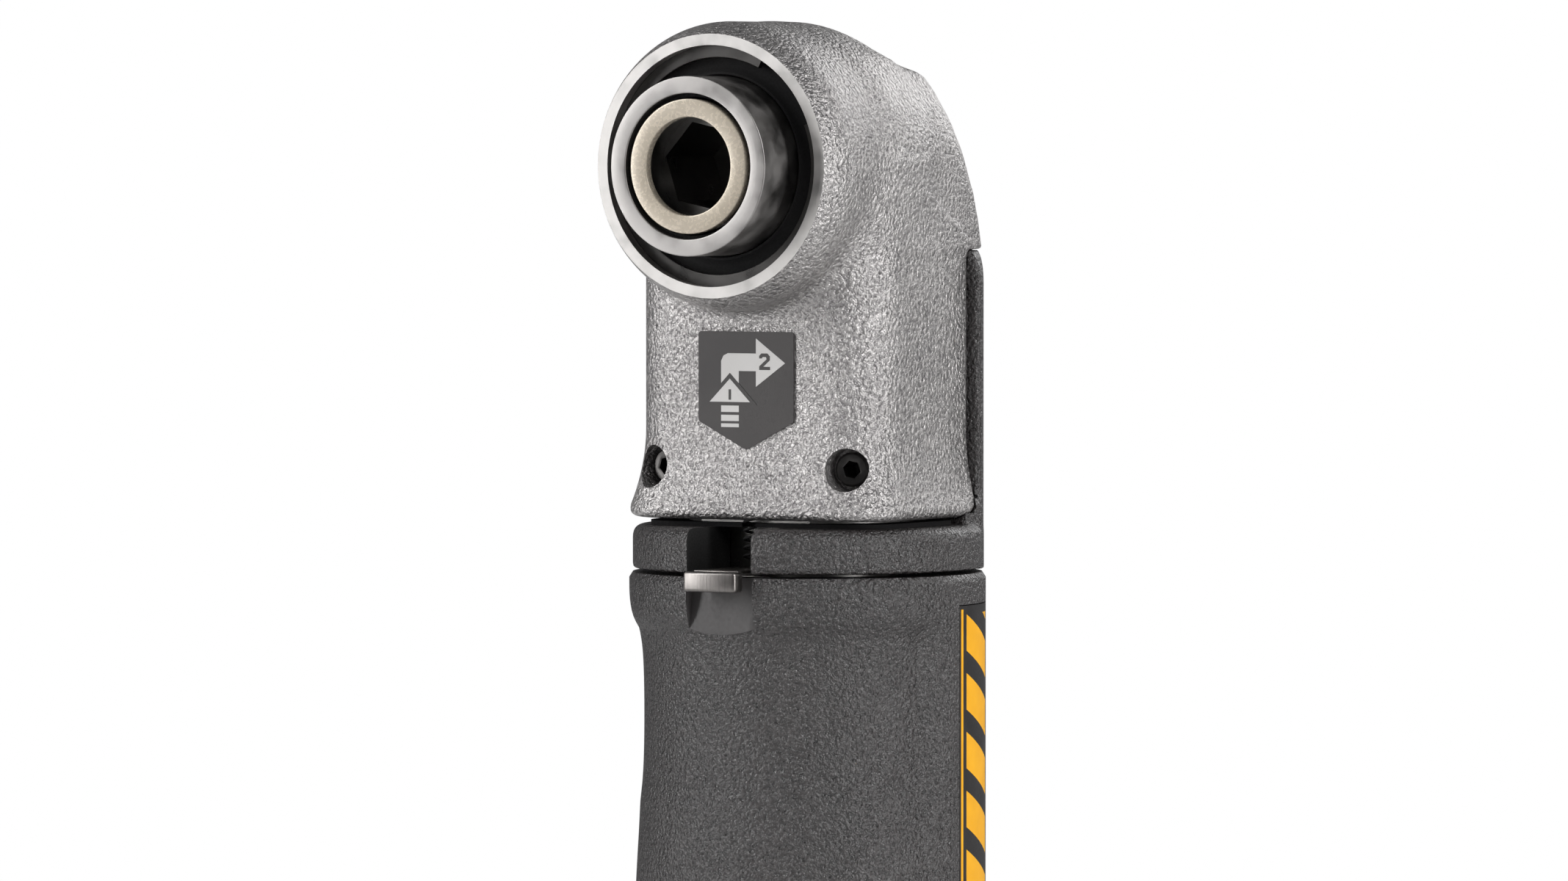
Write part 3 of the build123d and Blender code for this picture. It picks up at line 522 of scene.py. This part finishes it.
label_top = seam_z + 26.6
label_film = grained("label_film", (0.045, 0.042, 0.042), (0.06, 0.056, 0.055), 0.38, 0.3, 0.02,
                     0.4, 0.4)
label_print = grained("label_print", (0.52, 0.51, 0.50), (0.62, 0.61, 0.60), 0.42, 0.35, 0.02,
                      0.2, 0.4)
label_front = -16.7
label_back = -16.4
shield_right = [(7.3, 0), (7.58, -0.12), (7.7, -0.4), (7.7, -12.2), (7.62, -12.5), (0.5, -16.2)]
shield = [(-7.3, 0), *shield_right, (0, -16.35), *[(-x, z) for x, z in shield_right[:0:-1]]]
arrow_head = [(1.65, -0.94), (6.36, -4.33), (1.65, -7.65)]
shaft = [(-3.99, -7.2), (-3.99, -4.1), (-3.6, -3.35), (-2.9, -3.03), (1.65, -3.03), (1.65, -5.48),
         (-1.13, -5.48), (-1.13, -7.2)]
triangle = [(-2.56, -6.57), (0.72, -9.8), (-5.84, -9.8)]
dark_edge = [(-2.56, -5.75), (1.75, -10.1), (-6.87, -10.1)]
bars = [[(-3.99, top), (-1.13, top), (-1.13, low), (-3.99, low)]
        for top, low in ((-10.3, -11.2), (-11.6, -12.45), (-12.8, -13.3))]
two = [(2.2, -3.35), (2.55, -3.0), (3.5, -3.0), (3.9, -3.4), (3.9, -3.95), (2.85, -4.85),
       (3.95, -4.85), (3.95, -5.3), (2.2, -5.3), (2.2, -4.8), (3.4, -3.8), (3.3, -3.5),
       (2.75, -3.5), (2.6, -3.7), (2.2, -3.7)]
one = [(-2.75, -8.05), (-2.35, -8.05), (-2.35, -9.5), (-2.75, -9.5)]
layers = [(shield, 0.0, label_film), (shaft, 0.03, label_print), (arrow_head, 0.03, label_print),
          (dark_edge, 0.05, label_film), (triangle, 0.07, label_print), (two, 0.06, label_film),
          (one, 0.09, label_film)] + [(bar, 0.03, label_print) for bar in bars]
sheets = []
for outline, lift, ink in layers:
    placed = [(x, label_top + z) for x, z in outline]
    back = label_back if not lift else label_front + 0.05
    sheets.append(plate("layer", placed, label_front - lift, back, ink))
label = join(sheets, "arrow_label")
finish_piece(label, "head", "label_film", "instruction_label")


# ---- Screws ----------------------------------------------------------------------------------
# Black oxide hexagon socket cap screws: two hold the casting to the swivel hub, and two lower
# down hold the ring gear in the grip. Each sits at the bottom of a plain round recess.
def inputs_of(tree, **sizes):
    """Declare a geometry tree's in and out, with named sizes; gives its input node."""
    tree.interface.new_socket("Geometry", in_out="INPUT", socket_type="NodeSocketGeometry")
    for name, value in sizes.items():
        kind = "NodeSocketInt" if isinstance(value, int) else "NodeSocketFloat"
        made = tree.interface.new_socket(name.replace("_", " "), in_out="INPUT", socket_type=kind)
        made.default_value = value
    tree.interface.new_socket("Geometry", in_out="OUTPUT", socket_type="NodeSocketGeometry")
    return tree.nodes.new("NodeGroupInput")


def end_tree(tree, geometry, material):
    """Finish a tree with real geometry and its material."""
    real = node(tree, "GeometryNodeRealizeInstances", Geometry=geometry)
    painted = node(tree, "GeometryNodeSetMaterial", Geometry=real.outputs[0], Material=material)
    tree.links.new(painted.outputs[0], tree.nodes.new("NodeGroupOutput").inputs[0])


def bake(piece, tree, **sizes):
    """Run a tree on a piece with these sizes and keep the result as a plain mesh."""
    change = piece.modifiers.new("build", "NODES")
    change.node_group = tree
    for item in tree.interface.items_tree:
        wanted = item.name.replace(" ", "_")
        if item.in_out == "INPUT" and wanted in sizes:
            change[item.identifier] = sizes[wanted]
    graph = bpy.context.evaluated_depsgraph_get()
    settled = bpy.data.meshes.new_from_object(piece.evaluated_get(graph))
    piece.modifiers.clear()
    piece.data = settled


def screw_tree(master, material):
    """The master screw on every point; its facing attribute is the way the head looks."""
    tree = bpy.data.node_groups.new("socket_screws", "GeometryNodeTree")
    given = inputs_of(tree, Size=1.0)
    source = node(tree, "GeometryNodeObjectInfo", Object=master)
    facing = node(tree, "GeometryNodeInputNamedAttribute", data_type="FLOAT_VECTOR", Name="facing")
    turn = node(tree, "FunctionNodeAlignRotationToVector", axis="Z", Vector=facing.outputs[0])
    scale = node(tree, "ShaderNodeCombineXYZ", X=given.outputs[1], Y=given.outputs[1],
                 Z=given.outputs[1])
    spread = node(tree, "GeometryNodeInstanceOnPoints", Points=given.outputs[0],
                  Instance=source.outputs["Geometry"], Rotation=turn.outputs[0],
                  Scale=scale.outputs[0])
    end_tree(tree, spread.outputs[0], material)
    return tree


def screws(name, places, tree, **sizes):
    """Points that carry the way each screw faces, turned into screws."""
    piece = linked_mesh(name, [p for p, f in places], [])
    facing = piece.data.attributes.new("facing", "FLOAT_VECTOR", "POINT")
    for i, (p, f) in enumerate(places):
        facing.data[i].vector = f
    bake(piece, tree, **sizes)
    smooth_over(piece, 35)
    return piece


def lathe_z(name, profile, material, sides=48):
    """Solid turned about the Z axis from a (radius, z) outline that starts and ends on it."""
    points = [(0, 0, profile[0][1]), (0, 0, profile[-1][1])]
    inner = profile[1:-1]
    for i in range(sides):
        a = math.tau * i / sides
        points += [(r * math.cos(a), r * math.sin(a), z) for r, z in inner]
    count = len(inner)
    faces = []
    for i in range(sides):
        this, after = 2 + i * count, 2 + (i + 1) % sides * count
        faces += [(this + k, this + k + 1, after + k + 1, after + k) for k in range(count - 1)]
        faces += [(0, this, after), (1, after + count - 1, this + count - 1)]
    piece = linked_mesh(name, points, faces, material)
    outward(piece)
    return piece


black_steel = turned_metal("black_steel", (0.075, 0.072, 0.07), 0.36, 0.15, "Z", 0.9)
master_screw = lathe_z("master_screw", [(0, -5.5), (1.3, -5.5), (1.3, -0.1), (1.45, 0), (2.1, 0),
                                        (2.4, -0.3), (2.4, -2.0), (1.5, -2.0), (1.5, -9.8),
                                        (0, -9.8)], black_steel)
# The round socket, the only part between these radii, is pressed into a hexagon.
half_side = math.radians(30)
for corner in master_screw.data.vertices:
    if 0.1 * mm < corner.co.xy.length < 1.4 * mm:
        turn = math.atan2(corner.co.y, corner.co.x) % (2 * half_side) - half_side
        corner.co.xy *= math.cos(half_side) / math.cos(turn)
cap_screws = screw_tree(master_screw, black_steel)
front_screws = screws("front_screws", screw_places, cap_screws)
finish_piece(front_screws, "head", "black_steel", "head_screws")


# ---- Nose: seal and snap ring ----------------------------------------------------------------
# A rubber lip seal closes the gap round the release sleeve, and an open snap ring of black
# spring steel in a groove of the bore holds it in. The ring's gap is at the upper right.
def rounded(profile, radius, steps=4):
    """Round every corner of a closed profile."""
    result = []
    count = len(profile)
    for i in range(count):
        corner = Vector(profile[i])
        before = Vector(profile[i - 1]) - corner
        after = Vector(profile[(i + 1) % count]) - corner
        reach = min(radius, before.length * 0.45, after.length * 0.45)
        start = corner + before.normalized() * reach
        end = corner + after.normalized() * reach
        for k in range(steps + 1):
            t = k / steps
            result.append(start * (1 - t) ** 2 + corner * 2 * t * (1 - t) + end * t ** 2)
    return [tuple(p) for p in result]


def turned_y(name, profile, material, start=0.0, sweep=360.0, sides=128):
    """Turn a closed (radius, y) profile round the nose's axis; start counts from the top."""
    whole = sweep == 360.0
    stops = sides if whole else sides + 1
    points = []
    for i in range(stops):
        a = math.radians(start + sweep * i / sides)
        points += [(r * math.sin(a), y, nose_z + r * math.cos(a)) for r, y in profile]
    count = len(profile)
    faces = []
    for i in range(sides):
        this, following = i * count, ((i + 1) % stops) * count
        for k in range(count):
            n = (k + 1) % count
            faces.append((this + k, this + n, following + n, following + k))
    if not whole:
        faces += [tuple(range(count)), tuple(range((stops - 1) * count, stops * count))]
    piece = linked_mesh(name, points, faces, material)
    outward(piece)
    smooth_over(piece, 40)
    return piece


seal_profile = [(17.0, -21.6), (17.0, -23.1), (16.6, -23.15), (14.2, -22.7), (13.4, -23.0),
                (13.0, -23.6), (12.7, -23.6), (12.45, -23.0), (12.5, -22.3), (13.0, -21.6)]
seal = turned_y("lip_seal", seal_profile, rubber)
finish_piece(seal, "head", "seal_rubber", "nose_seal")
ring_profile = rounded([(17.7, -24.3), (17.7, -23.3), (15.0, -23.3), (15.0, -24.3)], 0.15)
snap_ring = turned_y("snap_ring", ring_profile, black_steel, 68, 318)
finish_piece(snap_ring, "head", "black_steel", "nose_snap_ring")


# ---- Release sleeve and mouth cap ------------------------------------------------------------
# Turned steel sleeve, satin all over, that is pulled forwards to let a bit go. The ivory ring
# inside it is a hard-anodised cap, pressed on the spindle. The step between them is painted
# near-black, as painted shade in the groove.
satin = turned_metal("bright_steel", (0.40, 0.385, 0.375), 0.40, 0.25, centre=(0, 0, nose_z))
sleeve_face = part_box("release_sleeve")[0][1] / mm
sleeve_profile = rounded([(10.05, sleeve_face), (12.4, sleeve_face), (12.4, -21.8), (11.2, -21.8),
                          (11.2, -24.8), (8.45, -24.8), (8.45, -26.8), (9.5, -26.8),
                          (9.5, sleeve_face + 1.8), (10.05, sleeve_face + 1.8)], 0.16)
sleeve = turned_y("release_sleeve_ring", sleeve_profile, satin)
# Faces inside the step take the near-black painted shade instead of the satin.
sleeve.data.materials.append(slot_shade)
step_r = 10.08
for face in sleeve.data.polygons:
    off_axis = math.hypot(face.center.x / mm, face.center.z / mm - nose_z)
    if off_axis < step_r and face.center.y / mm > sleeve_face + 0.15:
        face.material_index = 1
finish_piece(sleeve, "sleeve", "bright_steel", "release_sleeve")
ivory = grained("ivory_plate", (0.54, 0.475, 0.38), (0.62, 0.55, 0.45), 0.26, 0.5, 0.002, 0.25,
                0.02, Coat_Weight=0.2, Coat_Roughness=0.25)
cap_profile = rounded([(6.78, -30.6), (9.3, -30.6), (9.3, -32.1), (6.78, -32.1)], 0.22)
cap = turned_y("mouth_cap", cap_profile, ivory)
finish_piece(cap, "spindle", "ivory_plate", "spindle_cap")
dark_ground = turned_metal("machined_alloy", (0.16, 0.155, 0.15), 0.34, 0.2, centre=(0, 0, nose_z))
dress(dark_ground, "drive_spindle")
bearing_steel = turned_metal("bearing_steel", (0.62, 0.61, 0.60), 0.2, 0.1, "Y",
                             centre=(0, 0, nose_z))
spring_steel = grained("spring_steel", (0.20, 0.19, 0.185), (0.30, 0.29, 0.28), 0.3, 0.5, 0.02, 1.0,
                       0.3)
dress(bearing_steel, "front_bearing", "rear_bearing")
dress(spring_steel, "retaining_ball", "sleeve_spring", "plunger_spring", "valve_spring")


# ---- Latch -----------------------------------------------------------------------------------
# Stamped steel slide in the collar's slot: the bar that the thumb pushes up has a brushed
# face, and its tongue carries the lock tooth behind.
def block_mesh(name, x0, x1, y0, y1, z0, z1, material, edge=0.3):
    """Box with rounded edges."""
    piece = tool_box(x0, x1, y0, y1, z0, z1)
    piece.name = name
    piece.data.materials.append(material)
    shape = bmesh.new()
    shape.from_mesh(piece.data)
    bmesh.ops.recalc_face_normals(shape, faces=shape.faces)
    bmesh.ops.bevel(shape, geom=shape.edges[:], offset=edge * mm, segments=3, profile=0.5,
                    affect="EDGES")
    shape.to_mesh(piece.data)
    shape.free()
    return piece


def brushed(name, colour, rough, stretch):
    """Steel with straight brush lines; stretch is how much finer it is on each axis."""
    material, tree, shader = new_material(name, Metallic=1.0)
    point = object_point(tree)
    pulled = node(tree, "ShaderNodeVectorMath", operation="MULTIPLY", _0=point, _1=stretch)
    lines = noise(tree, pulled.outputs[0], 1.0, 3.0)
    patch = noise(tree, point, 400.0, 2.0)
    dark = [c * 0.75 for c in colour]
    tree.links.new(between(tree, lines.outputs["Fac"], dark, colour), shader.inputs["Base Color"])
    dull = node(tree, "ShaderNodeMapRange", Value=patch.outputs["Fac"], To_Min=rough * 0.7,
                To_Max=rough * 1.3)
    tree.links.new(dull.outputs[0], shader.inputs["Roughness"])
    scratch = node(tree, "ShaderNodeBump", Height=lines.outputs["Fac"], Strength=0.4,
                   Distance=0.02 * mm)
    tree.links.new(scratch.outputs[0], shader.inputs["Normal"])
    return material


# The latch spring sits in the slot's shadow and gets the same near-black painted shade.
dress(slot_shade, "latch_spring")
brushed_steel = brushed("brushed_steel", (0.25, 0.235, 0.225), 0.34, (4500, 900, 300))
grip_top = seam_z - 7.3
latch = block_mesh("push_latch", -4.0, 4.4, -27.0, -24.6, grip_top - 1.9, grip_top + 0.9,
                   brushed_steel, 0.45)
tongue = block_mesh("tongue", -3.6, 3.6, -24.9, -13.8, collar_low + 0.1, collar_low + 0.55,
                    brushed_steel, 0.2)
tooth = block_mesh("tooth", -2.5, 2.5, -17.0, -14.2, grip_top, collar_low + 0.2,
                   brushed_steel, 0.15)
cut(latch, [tongue, tooth], operation="UNION")
smooth_over(latch, 35)
finish_piece(latch, "latch", "bright_steel", "latch")


# ---- Swivel hub and the drive inside the head ------------------------------------------------
# Steel hub that turns in the grip's mouth, the upright shaft with its bevel pinion, the large
# bevel gear with ratchet teeth in its hub, and the pawl that the selector rocks.
gear_steel = turned_metal("gear_steel", (0.42, 0.40, 0.38), 0.33, 0.3, "Z")
hub_steel = turned_metal("hub_steel", (0.50, 0.49, 0.47), 0.3, 0.25, "Z")
dress(hub_steel, "swivel_hub", "lock_ring", "planet_pins", "valve_stem", "lever_pin", "pawl_pin",
      "pawl_plunger", "pawl")
dress(gear_steel, "pinion_shaft", "planet_gear_1", "planet_gear_2", "planet_gear_3", "ring_gear",
      "planet_carrier", "rotor")
bevel_steel = turned_metal("bevel_steel", (0.42, 0.40, 0.38), 0.33, 0.3, centre=(0, 0, nose_z))
dress(bevel_steel, "bevel_gear")
race_steel = turned_metal("race_steel", (0.62, 0.61, 0.60), 0.2, 0.1, "Z")
dress(race_steel, "upper_pinion_bearing", "lower_pinion_bearing", "carrier_bearing",
      "rotor_front_bearing", "rotor_rear_bearing")


# ---- Selector knob ---------------------------------------------------------------------------
# Moulded nylon knob on the back of the head, fluted round its rim, with a rib to turn it by.
knob_nylon = grained("knob_nylon", (0.028, 0.026, 0.026), (0.04, 0.038, 0.037), 0.36, 0.5, 0.05,
                     0.0, 0.5, Specular_IOR_Level=0.6)
dress(knob_nylon, "selector_knob", "air_regulator")


# ---- Grip ------------------------------------------------------------------------------------
# Thick nylon tube with a shallow waist for the fingers across its front, a thumb scoop under
# the latch, a pocket for the strip on each flank, screw recesses and two lever ears.
def maths(tree, operation, a, b=0.0):
    """One step of arithmetic; gives its result."""
    return node(tree, "ShaderNodeMath", operation=operation, _0=a, _1=b).outputs[0]


def grip_tree(material):
    """Upright tube whose front is drawn in by a waist curve between two ridges."""
    tree = bpy.data.node_groups.new("finger_grip", "GeometryNodeTree")
    given = inputs_of(tree, Radius=25.0 * mm, Bottom=17.2 * mm, Length=165.5 * mm, Waist=2.1 * mm,
                      Waist_Edge=73.0, Side_Edge=84.0, Lip=0.5 * mm)
    radius, bottom, length, waist, inner, outer, lip = [given.outputs[i] for i in range(1, 8)]
    tube = node(tree, "GeometryNodeMeshCylinder", Vertices=240, Side_Segments=210, Radius=radius,
                Depth=length)
    spot = node(tree, "GeometryNodeInputPosition").outputs[0]
    x, y, z = node(tree, "ShaderNodeSeparateXYZ", Vector=spot).outputs
    share = maths(tree, "ADD", maths(tree, "DIVIDE", z, length), 0.5)
    curve = node(tree, "ShaderNodeFloatCurve", Value=share)
    line = curve.mapping.curves[0]
    stops = ((0.0, 0.19), (0.57, 0.19), (0.67, 0.29), (0.80, 0.71), (0.88, 1.0), (0.95, 0.71),
             (0.987, 0.0), (1.0, 0.0))
    line.points[0].location = stops[0]
    line.points[1].location = stops[-1]
    for stop in stops[1:-1]:
        line.points.new(*stop)
    curve.mapping.update()
    around = maths(tree, "ARCTAN2", x, maths(tree, "MULTIPLY", y, -1.0))
    around = maths(tree, "DEGREES", maths(tree, "ABSOLUTE", around))
    front = node(tree, "ShaderNodeMapRange", Value=around, From_Min=inner, From_Max=outer,
                 To_Min=1.0, To_Max=0.0).outputs[0]
    dip = maths(tree, "MULTIPLY", maths(tree, "MULTIPLY", curve.outputs[0], waist), front)
    close = node(tree, "ShaderNodeMapRange", Value=share, From_Min=0.9955, From_Max=1.0,
                 To_Min=0.0, To_Max=1.0).outputs[0]
    dip = maths(tree, "ADD", dip, maths(tree, "MULTIPLY", close, lip))
    ratio = maths(tree, "DIVIDE", maths(tree, "SUBTRACT", radius, dip), radius)
    new_x = maths(tree, "MULTIPLY", x, ratio)
    new_y = maths(tree, "MULTIPLY", y, ratio)
    new_z = maths(tree, "ADD", maths(tree, "MULTIPLY", share, length), bottom)
    moved = node(tree, "ShaderNodeCombineXYZ", X=new_x, Y=new_y, Z=new_z)
    drawn = node(tree, "GeometryNodeSetPosition", Geometry=tube.outputs[0],
                 Position=moved.outputs[0])
    end_tree(tree, drawn.outputs[0], material)
    return tree


def wedge(inner, outer, start, end, low, high, steps=24):
    """Closed piece of a ring between two angles from +X, in degrees, and two heights."""
    angles = [math.radians(start + (end - start) * i / steps) for i in range(steps + 1)]
    outline = [(outer * math.cos(a), outer * math.sin(a)) for a in angles]
    outline += [(inner * math.cos(a), inner * math.sin(a)) for a in reversed(angles)]
    count = len(outline)
    points = [(x, y, z) for z in (low, high) for x, y in outline]
    faces = [tuple(reversed(range(count))), tuple(range(count, 2 * count))]
    faces += [(i, (i + 1) % count, (i + 1) % count + count, i + count) for i in range(count)]
    piece = linked_mesh("cutter", points, faces)
    outward(piece)
    return piece


def crosswise(cutter, y, z):
    """Lay a cutter drawn along Y at the origin along X, at this place; gives the cutter."""
    place = Matrix.Translation(Vector((0, y, z)) * mm)
    cutter.data.transform(place @ Matrix.Rotation(math.radians(-90), 4, "Z"))
    outward(cutter)
    return cutter


grip = linked_mesh("grip", [(0, 0, 0)], [])
bake(grip, grip_tree(nylon))
# The scoop's faces are the grip's nylon made smoother, and painted lighter: painted light where the
# scoop faces up.
scoop_nylon = grained("scoop_nylon", (0.06, 0.056, 0.056), (0.075, 0.07, 0.07), 0.5, 0.5, 0.02,
                      0.0, 0.3)
scoop_outline = [(-5.0, 174.6), (5.6, 174.6), (5.6, 184), (-5.0, 184)]
scoop = plate("cutter", scoop_outline, -30, -23.65, scoop_nylon)
# The scoop's floor slopes, deeper at the top.
for corner in scoop.data.vertices:
    if corner.co.y > -25 * mm and corner.co.z > 180 * mm:
        corner.co.y += 1.35 * mm
lever_y, lever_z = 28.5, 100
ears = []
for side in (-1, 1):
    a, b = sorted((side * 7.6, side * 10.4))
    ears.append(tool_box(a, b, 22, 29, lever_z - 5, lever_z + 5))
    ears.append(crosswise(tool_y(3.6, a, b, 0, 0, 48), lever_y, lever_z))
cut(grip, ears, nylon, "UNION")
cut(grip, [scoop])
strip_angles = ((-1.4, 31.0), (149.0, 181.4))
grip_screw_places = []
for angle in (35, 59):
    a = math.radians(angle)
    out = Vector((math.sin(a), -math.cos(a), 0))
    grip_screw_places.append((tuple(out * 24.0 + Vector((0, 0, 137.6))), tuple(out)))
pin_hole = crosswise(tool_y(1.6, -12, 12, 0, 0, 32), lever_y, lever_z)
dial_seat = crosswise(tool_y(5.8, -30, -21.6, 0, 0, 64), -8, 66)
pockets = [wedge(24.1, 30, start - 0.15, end + 0.15, 77.85, 178.55)
           for start, end in strip_angles]
cut(grip, pockets, nylon)
cut(grip, [aimed(tool_y(2.3, -4.0, 2.0, 0, 0, 48), p, f) for p, f in grip_screw_places], nylon)
cut(grip, [aimed(tool_y(1.3, 0.0, 6.0, 0, 0, 32), p, f) for p, f in grip_screw_places], nylon)
cut(grip, [tool_y(4.25, 15, 30, 0, 56, 64), pin_hole, dial_seat, tool_z(19.5, 0, 200)], nylon)
smooth_over(grip, 35)
finish_piece(grip, "handle", "black_nylon", "handle_shell")


# ---- Flank strips ----------------------------------------------------------------------------
# Flexible printed strips let into the grip's sides: black film with a thin yellow border line
# and a row of slanted yellow bars.
def inside(tree, value, low, high):
    """1 where the value lies between two limits."""
    above = maths(tree, "GREATER_THAN", value, low)
    below = maths(tree, "LESS_THAN", value, high)
    return maths(tree, "MULTIPLY", above, below)


def strip_print():
    """The printed film: a border line and slanted bars, laid out along the arc and the height."""
    material, tree, shader = new_material("strip_film", Specular_IOR_Level=0.5)
    point = object_point(tree)
    split = node(tree, "ShaderNodeSeparateXYZ", Vector=point)
    width = maths(tree, "ABSOLUTE", split.outputs[0])
    turn = maths(tree, "ARCTAN2", split.outputs[1], width)
    arc = maths(tree, "MULTIPLY", maths(tree, "ADD", turn, math.radians(1.4)), 25.0)
    height = maths(tree, "MULTIPLY", split.outputs[2], 1000.0)
    line = inside(tree, arc, 0.45, 1.05)
    slanted = maths(tree, "ADD", height, maths(tree, "MULTIPLY", arc, 0.45))
    share = maths(tree, "FRACT", maths(tree, "DIVIDE", slanted, 8.2))
    bar = maths(tree, "MULTIPLY", inside(tree, share, 0.10, 0.72), inside(tree, arc, 2.0, 11.4))
    bar = maths(tree, "MULTIPLY", bar, inside(tree, height, 80.0, 177.2))
    line = maths(tree, "MULTIPLY", line, inside(tree, height, 79.0, 177.9))
    ink = maths(tree, "MAXIMUM", line, bar)
    cloud = noise(tree, point, 300.0, 3.0)
    black = between(tree, cloud.outputs["Fac"], (0.018, 0.017, 0.017), (0.028, 0.026, 0.026))
    yellow = between(tree, cloud.outputs["Fac"], (0.90, 0.42, 0.008), (0.98, 0.48, 0.012))
    tone = node(tree, "ShaderNodeMixRGB", Fac=ink, Color1=black, Color2=yellow)
    tree.links.new(tone.outputs[0], shader.inputs["Base Color"])
    grain = noise(tree, point, 2400.0, 2.0)
    dull = node(tree, "ShaderNodeMapRange", Value=grain.outputs["Fac"], To_Min=0.34, To_Max=0.5)
    tree.links.new(dull.outputs[0], shader.inputs["Roughness"])
    raised = node(tree, "ShaderNodeBump", Height=ink, Strength=0.5, Distance=0.05 * mm)
    fine = node(tree, "ShaderNodeBump", Height=grain.outputs["Fac"], Strength=0.25,
                Distance=0.03 * mm, Normal=raised.outputs[0])
    tree.links.new(fine.outputs[0], shader.inputs["Normal"])
    return material


dress(strip_print(), "side_strips")


# ---- Grip screws -----------------------------------------------------------------------------
# Two more of the same black cap screws, smaller, at the bottom of their recesses.
sunk = [(tuple(Vector(p) - Vector(f) * 0.4), f) for p, f in grip_screw_places]
grip_screws = screws("grip_screws", sunk, cap_screws, Size=0.8)
bpy.data.objects.remove(master_screw)
finish_piece(grip_screws, "handle", "black_steel", "handle_screws")


# ---- Motor and reduction gear ----------------------------------------------------------------
# Cast-iron liner and turned end plates round the rotor, phenolic vanes, and the planet gears.
alloy = turned_metal("turned_alloy", (0.55, 0.54, 0.52), 0.32, 0.3, "Z")
dress(alloy, "bearing_plate", "front_end_plate", "rear_end_plate", "motor_cylinder", "valve_body")
phenolic = grained("phenolic", (0.16, 0.07, 0.025), (0.24, 0.11, 0.04), 0.5, 0.4, 0.04, 0.0, 0.5)
dress(phenolic, "vanes")


# ---- Throttle valve and lever ----------------------------------------------------------------
# Brass bush with the steel valve stem in it, and the pressed steel lever on the back of the
# grip, black coated.
brass = turned_metal("brass_bush", (0.62, 0.42, 0.16), 0.28, 0.2, "Y", centre=(0, 0, 56))
dress(brass, "valve_bush")
lever_coat = grained("lever_coat", (0.030, 0.029, 0.029), (0.042, 0.040, 0.039), 0.34, 0.45, 0.05,
                     0.3, 0.5)
dress(lever_coat, "throttle_lever")


# ---- Base: muffler, cap, inlet and exhaust skirt ---------------------------------------------
# The felt ring quietens the exhaust, the nylon cap closes the grip, the steel bushing takes
# the hose fitting and the slotted skirt turns to aim the exhaust.
felt = grained("felt", (0.30, 0.29, 0.27), (0.42, 0.40, 0.37), 0.95, 0.35, 0.2, 0.0, 0.9)
dress(felt, "muffler_felt")
dress(nylon, "base_cap", "exhaust_deflector")
dress(hub_steel, "inlet_bushing")
mesh_steel = grained("mesh_steel", (0.35, 0.34, 0.33), (0.48, 0.47, 0.46), 0.35, 0.4, 0.2, 1.0, 0.9)
dress(mesh_steel, "inlet_screen")
